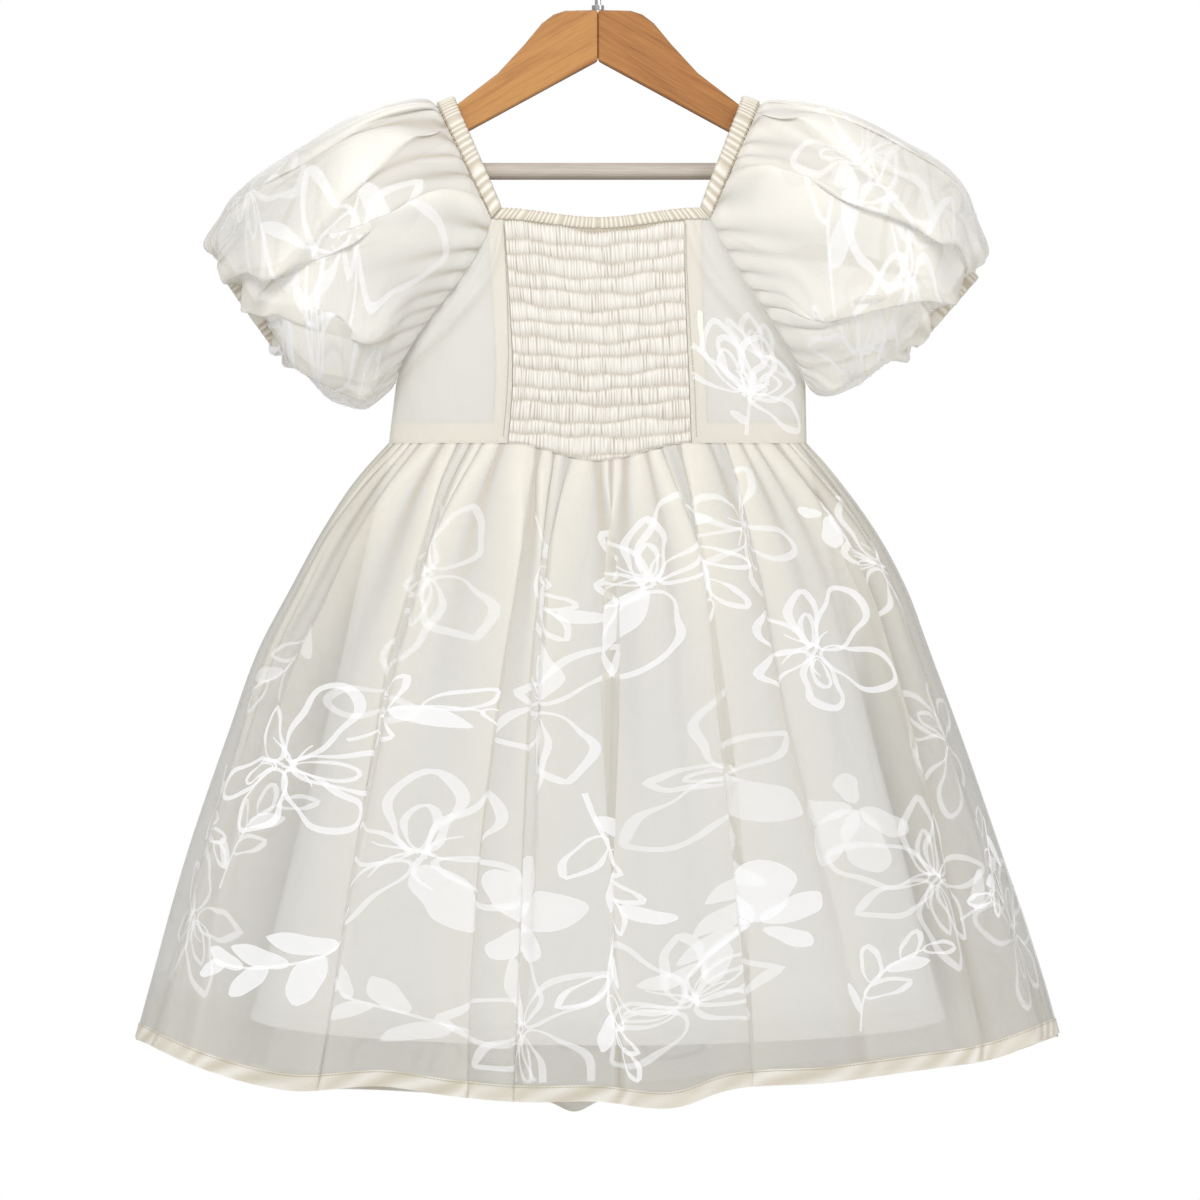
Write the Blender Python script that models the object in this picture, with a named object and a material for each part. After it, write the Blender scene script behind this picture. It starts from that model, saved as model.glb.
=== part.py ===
"""A girl's organza party dress with puff sleeves, hanging on a small wooden hanger.

Metres, +Z up, the front of the dress faces -Y. The origin is the inside top of the hanger's hook.
Each piece of cloth is a thin closed wall between two grids of points, worked out from the
sections and edges in the tables below. Table values are millimetres.
"""

from collections import namedtuple
from math import cos, pi, radians, sin

import bmesh
import bpy
import numpy as np

MM = 0.001
GAP = 0.3
SEAM = 0.15

# Cloth walls
ORGANZA = 1.2
LINING = 1.0
HEM_EXTRA = 0.5

# Hanger
CROWN_TOP = -75.0
ARM_THICK = 12.0
ARM_BEVEL = 1.6
BAR_RADIUS = 5.8
BAR_Z = -184.5
BAR_SEAT_X = 126.3
COLLAR_RADIUS = 4.2
COLLAR_HEIGHT = 3.0
WIRE_RADIUS = 2.1
CROOK_RADIUS = 17.0
HOOK_BEND_Z = -54.0

# Half of the arm's outline, from the mitre out along the top and back along the underside
ArmPoint = namedtuple("ArmPoint", "x z")
ARM_OUTLINE = [
    ArmPoint(0.15, -75.0),
    ArmPoint(22.0, -75.5),
    ArmPoint(30.0, -78.0),
    ArmPoint(38.0, -84.0),
    ArmPoint(50.0, -98.5),
    ArmPoint(68.0, -118.0),
    ArmPoint(96.6, -139.9),
    ArmPoint(125.0, -156.8),
    ArmPoint(148.0, -169.0),
    ArmPoint(157.0, -178.0),
    ArmPoint(159.0, -187.0),
    ArmPoint(154.0, -194.0),
    ArmPoint(126.3, -194.5),
    ArmPoint(126.3, -178.0),
    ArmPoint(86.5, -156.6),
    ArmPoint(0.15, -109.7),
]

# Bodice
NECK_TOP = -209.6
NECK_SAG = 6.5
NECK_HALF_WIDTH = 68.0
BAND_HEIGHT = 8.2
WAIST_Z = -369.5
WAIST_SAG = 12.0
WAIST_SAG_HALF_WIDTH = 64.0
NECK_CORNER = 0.41
SMOCK_ROWS = 16
SMOCK_PUCKERS = 18
SMOCK_RISE = 1.5

# One side of the body: the armhole from the shoulder top to the underarm, then the side seam
Side = namedtuple("Side", "sign top_x top_z under_x under_z waist_x lean straight")
LEFT = Side(-1, 109.5, -139.6, 137.5, -328.6, 142.5, 48.3, 0.15)
RIGHT = Side(1, 110.0, -139.0, 141.4, -328.6, 142.2, 46.2, 0.6)

BodySection = namedtuple("BodySection", "z depth smock_left smock_right")
BODY = [
    BodySection(-209.0, 22.0, 64.6, 58.8),
    BodySection(-237.5, 26.0, 62.4, 58.8),
    BodySection(-284.0, 29.5, 59.2, 60.0),
    BodySection(-329.0, 30.5, 57.9, 61.9),
    BodySection(-370.0, 28.0, 61.0, 63.4),
]

# Skirt, from the waist to the hem, with the outline's half widths at the side seams
SkirtSection = namedtuple("SkirtSection", "z left right depth lining lining_depth gather fold")
SKIRT = [
    SkirtSection(-368.0, 142.5, 142.2, 28.0, 140.8, 26.2, 0.5, 0.0),
    SkirtSection(-393.0, 164.5, 163.0, 35.0, 146.5, 28.5, 2.6, 0.8),
    SkirtSection(-426.0, 186.5, 187.0, 41.0, 154.0, 31.5, 2.6, 2.0),
    SkirtSection(-469.0, 210.0, 210.0, 47.0, 164.0, 35.0, 2.0, 4.0),
    SkirtSection(-503.0, 228.0, 222.5, 51.0, 171.0, 37.5, 1.2, 5.5),
    SkirtSection(-566.5, 251.5, 246.0, 57.0, 185.0, 42.0, 0.5, 7.5),
    SkirtSection(-642.0, 277.5, 272.0, 62.0, 204.0, 47.0, 0.2, 8.5),
    SkirtSection(-741.0, 305.5, 304.5, 68.0, 228.0, 52.0, 0.0, 8.5),
    SkirtSection(-772.0, 314.0, 313.0, 70.0, 236.0, 54.0, 0.0, 8.0),
]
SKIRT_ROWS = (0.0, 0.03, 0.1, 0.22, 0.38, 0.57, 0.78, 0.974, 0.9765, 1.0)
FRONT_GATHERS = 22
BACK_GATHERS = 15
SKIRT_FOLDS = 9

# Lower edges, read across the front
Edge = namedtuple("Edge", "x front back")
HEM = [
    Edge(-314.0, -773.0, -775.0),
    Edge(-271.0, -791.7, -794.5),
    Edge(-212.0, -806.5, -808.0),
    Edge(-141.0, -804.0, -812.0),
    Edge(-102.0, -809.5, -814.5),
    Edge(-52.0, -814.0, -818.0),
    Edge(-3.0, -813.5, -817.5),
    Edge(59.0, -816.5, -815.0),
    Edge(80.0, -808.5, -811.0),
    Edge(161.0, -801.0, -802.5),
    Edge(205.0, -795.0, -797.5),
    Edge(270.0, -785.0, -789.5),
    Edge(313.0, -770.0, -773.0),
]
BACK_DIP_X = -16.0
BACK_DIP = 9.0
BACK_DIP_WIDTH = 14.0
LINING_HEM_SIDE = -759.0
LINING_HEM_BOW = 18.0

# Sleeves, from the armhole to the elastic at the cuff
Puff = namedtuple("Puff", "at top_x top_z under_x under_z lean depth gather fold")
LEFT_PUFF = [
    Puff(0.0, 110.3, -139.6, 138.3, -328.8, 48.3, 22.0, 0.0, 0.0),
    Puff(0.06, 116.0, -135.6, 141.5, -333.0, 45.5, 31.0, 1.8, 0.6),
    Puff(0.15, 133.0, -136.0, 147.0, -338.5, 38.0, 44.0, 2.2, 1.8),
    Puff(0.3, 167.0, -146.5, 158.5, -346.5, 26.0, 59.0, 1.2, 3.0),
    Puff(0.5, 204.0, -169.0, 174.5, -343.0, 13.0, 67.0, 0.6, 3.6),
    Puff(0.7, 240.0, -193.5, 189.5, -333.5, 4.0, 62.0, 1.2, 3.4),
    Puff(0.86, 255.0, -212.5, 200.5, -320.0, 0.0, 50.0, 2.2, 2.6),
    Puff(0.95, 259.0, -234.0, 208.0, -308.0, 0.0, 37.0, 1.8, 1.2),
    Puff(1.0, 250.5, -247.0, 213.5, -299.5, 0.0, 25.0, 0.4, 0.0),
]
RIGHT_PUFF = [
    Puff(0.0, 110.8, -139.0, 142.2, -328.8, 46.2, 22.0, 0.0, 0.0),
    Puff(0.06, 117.0, -135.5, 144.5, -332.5, 43.5, 31.0, 1.8, 0.6),
    Puff(0.15, 133.0, -136.0, 149.0, -336.0, 37.0, 44.0, 2.2, 1.8),
    Puff(0.3, 164.0, -143.5, 160.0, -336.5, 27.0, 60.0, 1.2, 3.0),
    Puff(0.5, 206.0, -161.5, 175.0, -331.5, 15.0, 69.0, 0.6, 3.6),
    Puff(0.7, 243.0, -187.0, 188.0, -321.5, 5.0, 64.0, 1.2, 3.4),
    Puff(0.86, 256.0, -212.0, 198.5, -312.0, 0.0, 51.0, 2.2, 2.6),
    Puff(0.95, 259.5, -237.0, 204.5, -305.0, 0.0, 37.0, 1.8, 1.2),
    Puff(1.0, 252.5, -250.0, 209.5, -299.0, 0.0, 25.0, 0.4, 0.0),
]
SLEEVE_GATHERS = 13
SLEEVE_FOLDS = 5
SLEEVE_SEAM_GAP = 0.8
PUFF_STARTS = 0.2
CUFF_WIDTH = 8.5
CUFF_RIBS = 20
CUFF_RIB = 0.9
CUFF_PUFF = 0.6
CUFF_SEAM_GAP = 0.9
CUFF_FLARE = 0.05

# Elastic casings round the neck
CASING_RIBS = 26
BAND_RIBS = 22
CASING_THICK = 1.3
CASING_RIB = 0.9
CASING_PUFF = 0.9
CASING_INSET = 0.2
CASING_AT_CORNER = (6.8, 8.2)
CASING_AT_SHOULDER = (12.2, 4.8)
BAND_END_GAP = 0.9
BAND_PUFF = 0.6
BACK_NECK_DROP = 1.5

CREAM = (0.86, 0.82, 0.72)
WHITE = (0.88, 0.88, 0.85)
WOOD = (0.45, 0.2, 0.07)
PALE_WOOD = (0.66, 0.62, 0.56)
STEEL = (0.7, 0.7, 0.7)


def column(table, name):
    """One named column of a table, as an array."""
    return np.array([getattr(row, name) for row in table])


def read(table, key, name, at):
    """A smooth curve through a table's column, read at one or many places."""
    keys = column(table, key)
    values = column(table, name)
    if keys[0] > keys[-1]:
        keys = keys[::-1]
        values = values[::-1]
    slopes = np.gradient(values, keys)
    at = np.clip(at, keys[0], keys[-1])
    i = np.clip(np.searchsorted(keys, at) - 1, 0, len(keys) - 2)
    step = keys[i + 1] - keys[i]
    t = (at - keys[i]) / step
    rise = values[i + 1] - values[i]
    bend = (slopes[i] * step - rise) * (1 - t) + (rise - slopes[i + 1] * step) * t
    return values[i] + rise * t + bend * t * (1 - t)


def smooth(t):
    """0 to 1 with level ends."""
    t = np.clip(t, 0.0, 1.0)
    return t * t * (3 - 2 * t)


def clear_scene():
    for thing in list(bpy.data.objects):
        bpy.data.objects.remove(thing, do_unlink=True)


def finish(thing, colour, roughness, metallic=0.0):
    """Gives an object a material of its own."""
    material = bpy.data.materials.new(thing.name)
    material.use_nodes = True
    shader = material.node_tree.nodes["Principled BSDF"]
    shader.inputs["Base Color"].default_value = (*colour, 1.0)
    shader.inputs["Roughness"].default_value = roughness
    shader.inputs["Metallic"].default_value = metallic
    thing.data.materials.append(material)


def add_object(name, data):
    thing = bpy.data.objects.new(name, data)
    bpy.context.scene.collection.objects.link(thing)
    return thing


def normals(grid, wrap, flip):
    """Unit normals of a grid [row, column, xyz], out of the garment for columns that run round it.

    At a side seam they lie in the seam's plane, so that front and back end face to face.
    """
    if wrap:
        across = np.roll(grid, -1, axis=1) - np.roll(grid, 1, axis=1)
    else:
        across = np.gradient(grid, axis=1)
    along = np.gradient(grid, axis=0)
    out = np.cross(along, across) * (-1 if flip else 1)
    at_side_seam = np.abs(grid[..., 1]) < 1.1 * SEAM
    out[at_side_seam, 1] = 0.0
    return out / np.linalg.norm(out, axis=2, keepdims=True)


def add_grid(bm, grid):
    return [[bm.verts.new(tuple(p)) for p in row] for row in grid * MM]


def skin(bm, verts, wrap):
    count = len(verts[0])
    for upper, lower in zip(verts, verts[1:]):
        for c in range(count if wrap else count - 1):
            d = (c + 1) % count
            bm.faces.new((upper[c], upper[d], lower[d], lower[c]))


def rim(bm, fine, coarse):
    """Joins two edges, the fine one with a whole number of steps to each step of the coarse one."""
    ratio = (len(fine) - 1) // (len(coarse) - 1)
    for k in range(len(coarse) - 1):
        bm.faces.new(fine[k * ratio : (k + 1) * ratio + 1] + [coarse[k + 1], coarse[k]])


def add_wall(name, outer, inner, colour, roughness, wrap=False):
    """A closed wall between two grids. The inner one may be coarser by whole numbers."""
    bm = bmesh.new()
    far = add_grid(bm, outer)
    near = add_grid(bm, inner)
    skin(bm, far, wrap)
    skin(bm, near, wrap)
    for row in (0, -1):
        if wrap:
            rim(bm, far[row] + far[row][:1], near[row] + near[row][:1])
        else:
            rim(bm, far[row], near[row])
    if not wrap:
        for c in (0, -1):
            rim(bm, [row[c] for row in far], [row[c] for row in near])
    bmesh.ops.recalc_face_normals(bm, faces=bm.faces)
    bmesh.ops.triangulate(bm, faces=bm.faces)
    mesh = bpy.data.meshes.new(name)
    bm.to_mesh(mesh)
    bm.free()
    thing = add_object(name, mesh)
    mesh.shade_smooth()
    mesh.set_sharp_from_angle(angle=radians(40))
    finish(thing, colour, roughness)
    return thing


def cloth(name, grid, thick, colour=CREAM, wrap=False, flip=False, relief=0.0):
    """A wall whose outer side is the grid, raised by the relief, and whose inner side is plain."""
    out = normals(grid, wrap, flip)
    raised = np.zeros(grid.shape[:2]) + relief
    return add_wall(name, grid + out * raised[..., None], grid - out * thick, colour, 0.7, wrap)


# The body's shape

def side_of(x):
    return LEFT if x < 0 else RIGHT


def armhole_fall(side, s):
    """How far the armhole leans to the neck, 0 to 1, from the shoulder top (0) to the underarm (1)."""
    t = np.clip((s - NECK_CORNER) / (1 - NECK_CORNER), 0, 1)
    curve = (1 + np.cos(pi * t)) / 2
    lower = curve * (1 - side.straight) + (1 - t) * side.straight
    return np.where(s < NECK_CORNER, s / NECK_CORNER, lower)


def body_half_width(side, z):
    """Where the side seam lies, which fixes how the section rounds back."""
    t = np.clip((side.under_z - z) / (side.under_z - WAIST_Z), 0, 1)
    return side.under_x + (side.waist_x - side.under_x) * t


def body_depth(x, z):
    """Half depth of the bodice's outer side at a point of the front view."""
    side = side_of(x)
    share = np.clip(abs(x) / body_half_width(side, z), 0, 1)
    return read(BODY, "z", "depth", z) * np.sqrt(1 - share**2) + SEAM


def edge_x(side, z):
    """Outer edge of the bodice: the armhole, then the side seam."""
    if z < side.under_z:
        return body_half_width(side, z)
    s = (side.top_z - z) / (side.top_z - side.under_z)
    straight = side.top_x + (side.under_x - side.top_x) * s
    return straight - side.lean * armhole_fall(side, s)


def neck_z(x):
    return NECK_TOP - NECK_SAG * cos(pi * min(abs(x) / NECK_HALF_WIDTH, 1) / 2) ** 2


def waist_z(x):
    return WAIST_Z - WAIST_SAG * cos(pi * min(abs(x) / WAIST_SAG_HALF_WIDTH, 1) / 2) ** 2


def panel_grid(left, right, rows, columns, back=False):
    """Points of a bodice panel between two edges, which are functions of z giving x.

    Columns are spread by angle round the section. They run left to right on the front and
    right to left on the back, so that the normals point out.
    """
    grid = np.zeros((rows, columns, 3))
    for r in range(rows):
        for c in range(columns):
            z = NECK_TOP - BAND_HEIGHT
            for _ in range(4):
                u = c / (columns - 1)
                x = spread(left(z), right(z), 1 - u if back else u, z)
                top = neck_z(x) - BAND_HEIGHT - GAP
                z = top + (waist_z(x) + SEAM - top) * r / (rows - 1)
            y = body_depth(x, z)
            grid[r, c] = (x, y if back else -y, z)
    return grid


def spread(x0, x1, u, z):
    """A place between two x values, spaced evenly by the section's angle."""
    def angle(x):
        width = body_half_width(side_of(x), z)
        return np.arcsin(np.clip(x / width, -1, 1))
    turn = angle(x0) + (angle(x1) - angle(x0)) * u
    return body_half_width(LEFT if turn < 0 else RIGHT, z) * sin(turn)


def smock_left(z):
    return -read(BODY, "z", "smock_left", z)


def smock_right(z):
    return read(BODY, "z", "smock_right", z)


def build_smocked_front():
    """Rows of shirring with small puckers, raised over a plain inside."""
    rows = 2 * SMOCK_ROWS + 1
    columns = 2 * SMOCK_PUCKERS + 1
    fine = panel_grid(lambda z: smock_left(z) + SEAM, lambda z: smock_right(z) - SEAM, rows, columns)
    out = normals(fine, False, False)
    rise = np.zeros((rows, columns))
    for r in range(1, rows, 2):
        for c in range(columns):
            pucker = 0.35 * cos(pi * c + pi * (r // 2))
            rise[r, c] = SMOCK_RISE * (0.8 + pucker + 0.12 * sin(1.7 * r + 2.3 * c))
    plain = (fine - out * ORGANZA)[::4, ::4]
    add_wall("bodice_front_smocked", fine + out * rise[..., None], plain, CREAM, 0.55)


def build_side_front(name, side):
    """An organza side panel, and the lining that shows through it."""
    def outer_edge(z):
        return side.sign * (edge_x(side, z) - SEAM)

    def inner_edge(z):
        return (smock_left(z) if side is LEFT else smock_right(z)) + side.sign * SEAM

    edges = (outer_edge, inner_edge) if side is LEFT else (inner_edge, outer_edge)
    grid = panel_grid(*edges, 9, 7)
    cloth("bodice_side_front_" + name, grid, ORGANZA)
    under = grid - normals(grid, False, False) * (ORGANZA + GAP + 0.2)
    cloth("bodice_lining_" + name, under, LINING, WHITE)


def build_bodice_back():
    grid = panel_grid(
        lambda z: -(edge_x(LEFT, z) - SEAM), lambda z: edge_x(RIGHT, z) - SEAM, 6, 31, back=True
    )
    cloth("bodice_back", grid, ORGANZA)


# Skirt

def ripple(c, count, level):
    """Uneven waves, 0 to 1, sampled at any place c from 0 to 1."""
    wave = (1 + np.cos(2 * pi * count * c)) / 2
    return wave * (1 - level + level * np.sin(2 * pi * (2.2 * c + 0.13)) ** 2)


def hem_z(x, back):
    z = read(HEM, "x", "back" if back else "front", x)
    if back:
        z = z - BACK_DIP * np.exp(-(((x - BACK_DIP_X) / BACK_DIP_WIDTH) ** 2))
    return z


def build_skirt(name, back, gathers, steps):
    """A gathered organza panel, with its hem turned up at the lower edge."""
    count = gathers * steps + 1
    grid = np.zeros((len(SKIRT_ROWS), count, 3))
    for r, v in enumerate(SKIRT_ROWS):
        level = SKIRT[0].z + (SKIRT[-1].z - SKIRT[0].z) * v
        depth = read(SKIRT, "z", "depth", level)
        gather = read(SKIRT, "z", "gather", level)
        fold = read(SKIRT, "z", "fold", level)
        for c in range(count):
            u = c / (count - 1)
            bend = 0.010 * sin(6 * pi * u + 0.5) + 0.005 * sin(14 * pi * u)
            turn = pi * (u + bend * sin(pi * u))
            direction = cos(turn) if back else -cos(turn)
            width = read(SKIRT, "z", "left" if direction < 0 else "right", level)
            taper = sin(turn) ** 0.5 if 0 < c < count - 1 else 0.0
            swell = gather * ripple(u, gathers, 0.4) + fold * ripple(u, SKIRT_FOLDS, 0.5)
            swell = swell * taper
            out = np.array([direction * depth, sin(turn) * width])
            out = out / np.linalg.norm(out)
            x = direction * width + out[0] * swell
            y = sin(turn) * depth + SEAM + out[1] * swell
            hem_x = direction * (SKIRT[-1].left if direction < 0 else SKIRT[-1].right)
            top = waist_z(direction * SKIRT[0].left) - SEAM
            z = top + (hem_z(hem_x, back) - top) * v
            grid[r, c] = (x, y if back else -y, z)
    relief = np.zeros(grid.shape[:2])
    relief[-2:] = HEM_EXTRA
    cloth(name, grid, ORGANZA, relief=relief)


def build_skirt_lining(name, back):
    """The plain A-line underskirt."""
    rows, count = 6, 21
    grid = np.zeros((rows, count, 3))
    for r in range(rows):
        v = r / (rows - 1)
        level = SKIRT[0].z + (SKIRT[-1].z - SKIRT[0].z) * v
        width = read(SKIRT, "z", "lining", level)
        depth = read(SKIRT, "z", "lining_depth", level)
        for c in range(count):
            turn = pi * c / (count - 1)
            x = (cos(turn) if back else -cos(turn)) * width
            y = sin(turn) * depth + SEAM
            top = waist_z(x) - 1.0
            bottom = LINING_HEM_SIDE - LINING_HEM_BOW * sin(turn)
            grid[r, c] = (x, y if back else -y, top + (bottom - top) * v)
    cloth(name, grid, LINING, WHITE)


# Sleeves and casings

def armhole_point(side, turn, away=0.0):
    """A point of the armhole, front for a turn of 0 to pi and back for pi to 2 pi."""
    s = (1 - cos(turn)) / 2
    z = side.top_z + (side.under_z - side.top_z) * s
    straight = side.top_x + (side.under_x - side.top_x) * s
    x = straight - side.lean * float(armhole_fall(side, s))
    corner_z = side.top_z + (side.under_z - side.top_z) * NECK_CORNER
    corner_x = side.top_x + (side.under_x - side.top_x) * NECK_CORNER - side.lean
    if s < NECK_CORNER:
        reach = body_depth(side.sign * corner_x, corner_z)
        half = 2 * np.sqrt(s * (1 - s)) / (2 * np.sqrt(NECK_CORNER * (1 - NECK_CORNER)))
        depth = reach * half
    else:
        depth = body_depth(side.sign * x, z)
    y = -depth if turn < pi else depth
    return np.array([side.sign * (x + away), y, z])


def build_sleeve(name, side, table):
    """A puffed tube from the armhole to the cuff, gathered at both ends."""
    count = SLEEVE_GATHERS * 3
    stations = (0.0, 0.03, 0.08, 0.16, 0.3, 0.46, 0.62, 0.76, 0.87, 0.95, 1.0)
    grid = np.zeros((len(stations), count, 3))
    for r, at in enumerate(stations):
        row = {f: float(read(table, "at", f, at)) for f in Puff._fields}
        settle = float(smooth(at / PUFF_STARTS))
        for c in range(count):
            turn = 2 * pi * (c + 0.5) / count
            s = (1 - cos(turn)) / 2
            start = armhole_point(side, turn, SLEEVE_SEAM_GAP)
            x = row["top_x"] + (row["under_x"] - row["top_x"]) * s
            x = x - row["lean"] * float(armhole_fall(side, s))
            z = row["top_z"] + (row["under_z"] - row["top_z"]) * s
            y = -row["depth"] * sin(turn)
            seam_y = start[1] * row["depth"] / table[0].depth
            y = seam_y + (y - seam_y) * settle
            swell = row["gather"] * ripple((c + 0.5) / count, SLEEVE_GATHERS, 0.4)
            swell = swell + row["fold"] * (ripple((c + 0.5) / count, SLEEVE_FOLDS, 0.3) - 0.5)
            width = (row["top_z"] - row["under_z"]) / 2
            out = np.array([-sin(turn) * width, cos(turn) * row["depth"]])
            out = out / np.linalg.norm(out)
            grid[r, c] = (side.sign * x, y + out[0] * swell, z + out[1] * swell)
            if r == 0:
                grid[r, c] = start
    cloth(name, grid, ORGANZA, wrap=True, flip=side is RIGHT)


def build_cuff(name, side, table):
    """The elastic casing that closes the puff, ribbed on its outer side."""
    end = table[-1]
    top = np.array([end.top_x, end.top_z])
    under = np.array([end.under_x, end.under_z])
    along = (under - top) / np.linalg.norm(under - top)
    outward = np.array([-along[1], along[0]])
    if outward[0] < 0:
        outward = -outward
    count = CUFF_RIBS * 2
    rows = (0.0, 0.5, 1.0)
    grid = np.zeros((len(rows), count, 3))
    relief = np.zeros((len(rows), count))
    for r, w in enumerate(rows):
        for c in range(count):
            turn = 2 * pi * c / count
            s = (1 - cos(turn)) / 2
            place = top + (under - top) * (0.03 + 0.94 * s)
            place = place + outward * (CUFF_SEAM_GAP + CUFF_WIDTH * w)
            depth = (end.depth - CUFF_SEAM_GAP) * (1 + CUFF_FLARE * w)
            grid[r, c] = (side.sign * place[0], -depth * sin(turn), place[1])
            relief[r, c] = CUFF_RIB * (c % 2) + (CUFF_PUFF if r == 1 else 0.0)
    cloth(name, grid, ORGANZA, wrap=True, flip=side is RIGHT, relief=relief)


def casing_span(a):
    """From the sleeve's seam to the neck edge: across the casing, by how near the shoulder top it is."""
    share = a**0.6
    return np.array(CASING_AT_CORNER) * (1 - share) + np.array(CASING_AT_SHOULDER) * share


def build_shoulder_casing(name, side):
    """The shirred casing that lies over the hanger's arm, from front neck corner to back."""
    steps = CASING_RIBS * 2
    corner = np.arccos(1 - 2 * NECK_CORNER)
    rows = (0.0, 0.5, 1.0)
    grid = np.zeros((3, steps + 1, 3))
    relief = np.zeros((3, steps + 1))
    for c in range(steps + 1):
        turn = corner * (1 - 2 * c / steps)
        start = armhole_point(side, abs(turn))
        if turn < 0:
            start[1] = -start[1]
        span = casing_span(1 - abs(turn) / corner)
        for r, w in enumerate(rows):
            x = start[0] - side.sign * (CASING_INSET + span[0] * w)
            grid[r, c] = (x, start[1], start[2] + span[1] * w)
            relief[r, c] = CASING_RIB * (c % 2) + (CASING_PUFF if r == 1 else 0.0)
    if side is RIGHT:
        grid = grid[:, ::-1]
        relief = relief[:, ::-1]
    out = normals(grid, False, False)
    add_wall(name, grid + out * (CASING_THICK + relief)[..., None], grid, CREAM, 0.6)


def build_neck_band(name, back):
    """The gathered casing along the front or back neck, between the shoulder casings."""
    steps = BAND_RIBS * 2
    grid = np.zeros((3, steps + 1, 3))
    relief = np.zeros((3, steps + 1))
    corner = np.arccos(1 - 2 * NECK_CORNER)
    left_end = armhole_point(LEFT, corner)[0]
    right_end = armhole_point(RIGHT, corner)[0]
    for r in range(3):
        w = r / 2
        slant = CASING_INSET + casing_span(0)[0] * (1 - w) + BAND_END_GAP
        left = left_end + slant
        right = right_end - slant
        for c in range(steps + 1):
            u = c / steps
            x = left + (right - left) * (1 - u if back else u)
            z = neck_z(x) - (BAND_HEIGHT - SEAM) * w
            if back:
                z = z - BACK_NECK_DROP * (1 - w) * sin(pi * u)
            y = body_depth(x, z)
            grid[r, c] = (x, y if back else -y, z)
            relief[r, c] = CASING_RIB * (c % 2) + (BAND_PUFF if r == 1 else 0.0)
    cloth(name, grid, CASING_THICK, relief=relief)


# Hanger

def build_arm(name, sign):
    """One half of the hanger, a bevelled board cut to the arm's outline."""
    bm = bmesh.new()
    half = ARM_THICK / 2
    ring = [bm.verts.new((sign * p.x * MM, -half * MM, p.z * MM)) for p in ARM_OUTLINE]
    face = bm.faces.new(ring)
    extruded = bmesh.ops.extrude_face_region(bm, geom=[face])
    moved = [v for v in extruded["geom"] if isinstance(v, bmesh.types.BMVert)]
    bmesh.ops.translate(bm, verts=moved, vec=(0, ARM_THICK * MM, 0))
    bmesh.ops.recalc_face_normals(bm, faces=bm.faces)
    mesh = bpy.data.meshes.new(name)
    bm.to_mesh(mesh)
    bm.free()
    arm = add_object(name, mesh)
    bevel = arm.modifiers.new("worn edges", "BEVEL")
    bevel.width = ARM_BEVEL * MM
    bevel.segments = 2
    bevel.limit_method = "ANGLE"
    bevel.angle_limit = radians(60)
    finish(arm, WOOD, 0.45)


def build_bar():
    """The trouser bar, butted to the heels of both arms."""
    length = 2 * (BAR_SEAT_X - GAP)
    bpy.ops.mesh.primitive_cylinder_add(
        vertices=20, radius=BAR_RADIUS * MM, depth=length * MM,
        location=(0, 0, BAR_Z * MM), rotation=(0, pi / 2, 0),
    )
    bar = bpy.context.object
    bar.name = "hanger_bar"
    bar.data.shade_smooth()
    bar.data.set_sharp_from_angle(angle=radians(40))
    finish(bar, PALE_WOOD, 0.7)


def build_collar():
    bpy.ops.mesh.primitive_cylinder_add(
        vertices=24, radius=COLLAR_RADIUS * MM, depth=COLLAR_HEIGHT * MM,
        location=(0, 0, (CROWN_TOP + GAP + COLLAR_HEIGHT / 2) * MM),
    )
    collar = bpy.context.object
    collar.name = "hanger_hook_collar"
    collar.data.shade_smooth()
    collar.data.set_sharp_from_angle(angle=radians(40))
    finish(collar, STEEL, 0.3, 1.0)


def hook_route():
    """Shank, bend and crook as one smooth line. The crook is a circle about its own middle."""
    radius = CROOK_RADIUS + WIRE_RADIUS
    join = np.array([radius * cos(radians(-60)), -CROOK_RADIUS + radius * sin(radians(-60))])
    foot = CROWN_TOP + 2 * GAP + COLLAR_HEIGHT
    points = [np.array([0.0, foot]), np.array([0.0, (foot + HOOK_BEND_Z) / 2])]
    start = np.array([0.0, HOOK_BEND_Z])
    pull = np.array([0.0, HOOK_BEND_Z + 10])
    push = join - 8 * np.array([cos(radians(30)), sin(radians(30))])
    for k in range(9):
        t = k / 8
        bend = (1 - t) ** 3 * start + 3 * t * (1 - t) ** 2 * pull
        points.append(bend + 3 * t**2 * (1 - t) * push + t**3 * join)
    for k in range(1, 25):
        a = radians(-60 + 260 * k / 24)
        points.append(np.array([radius * cos(a), -CROOK_RADIUS + radius * sin(a)]))
    return points


def build_hook():
    curve = bpy.data.curves.new("hanger_hook", "CURVE")
    curve.dimensions = "3D"
    route = hook_route()
    spline = curve.splines.new("POLY")
    spline.points.add(len(route) - 1)
    for point, (x, z) in zip(spline.points, route):
        point.co = (x * MM, 0, z * MM, 1)
    curve.bevel_depth = WIRE_RADIUS * MM
    curve.bevel_resolution = 2
    curve.use_fill_caps = True
    hook = add_object("hanger_hook", curve)
    finish(hook, STEEL, 0.25, 1.0)


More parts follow.
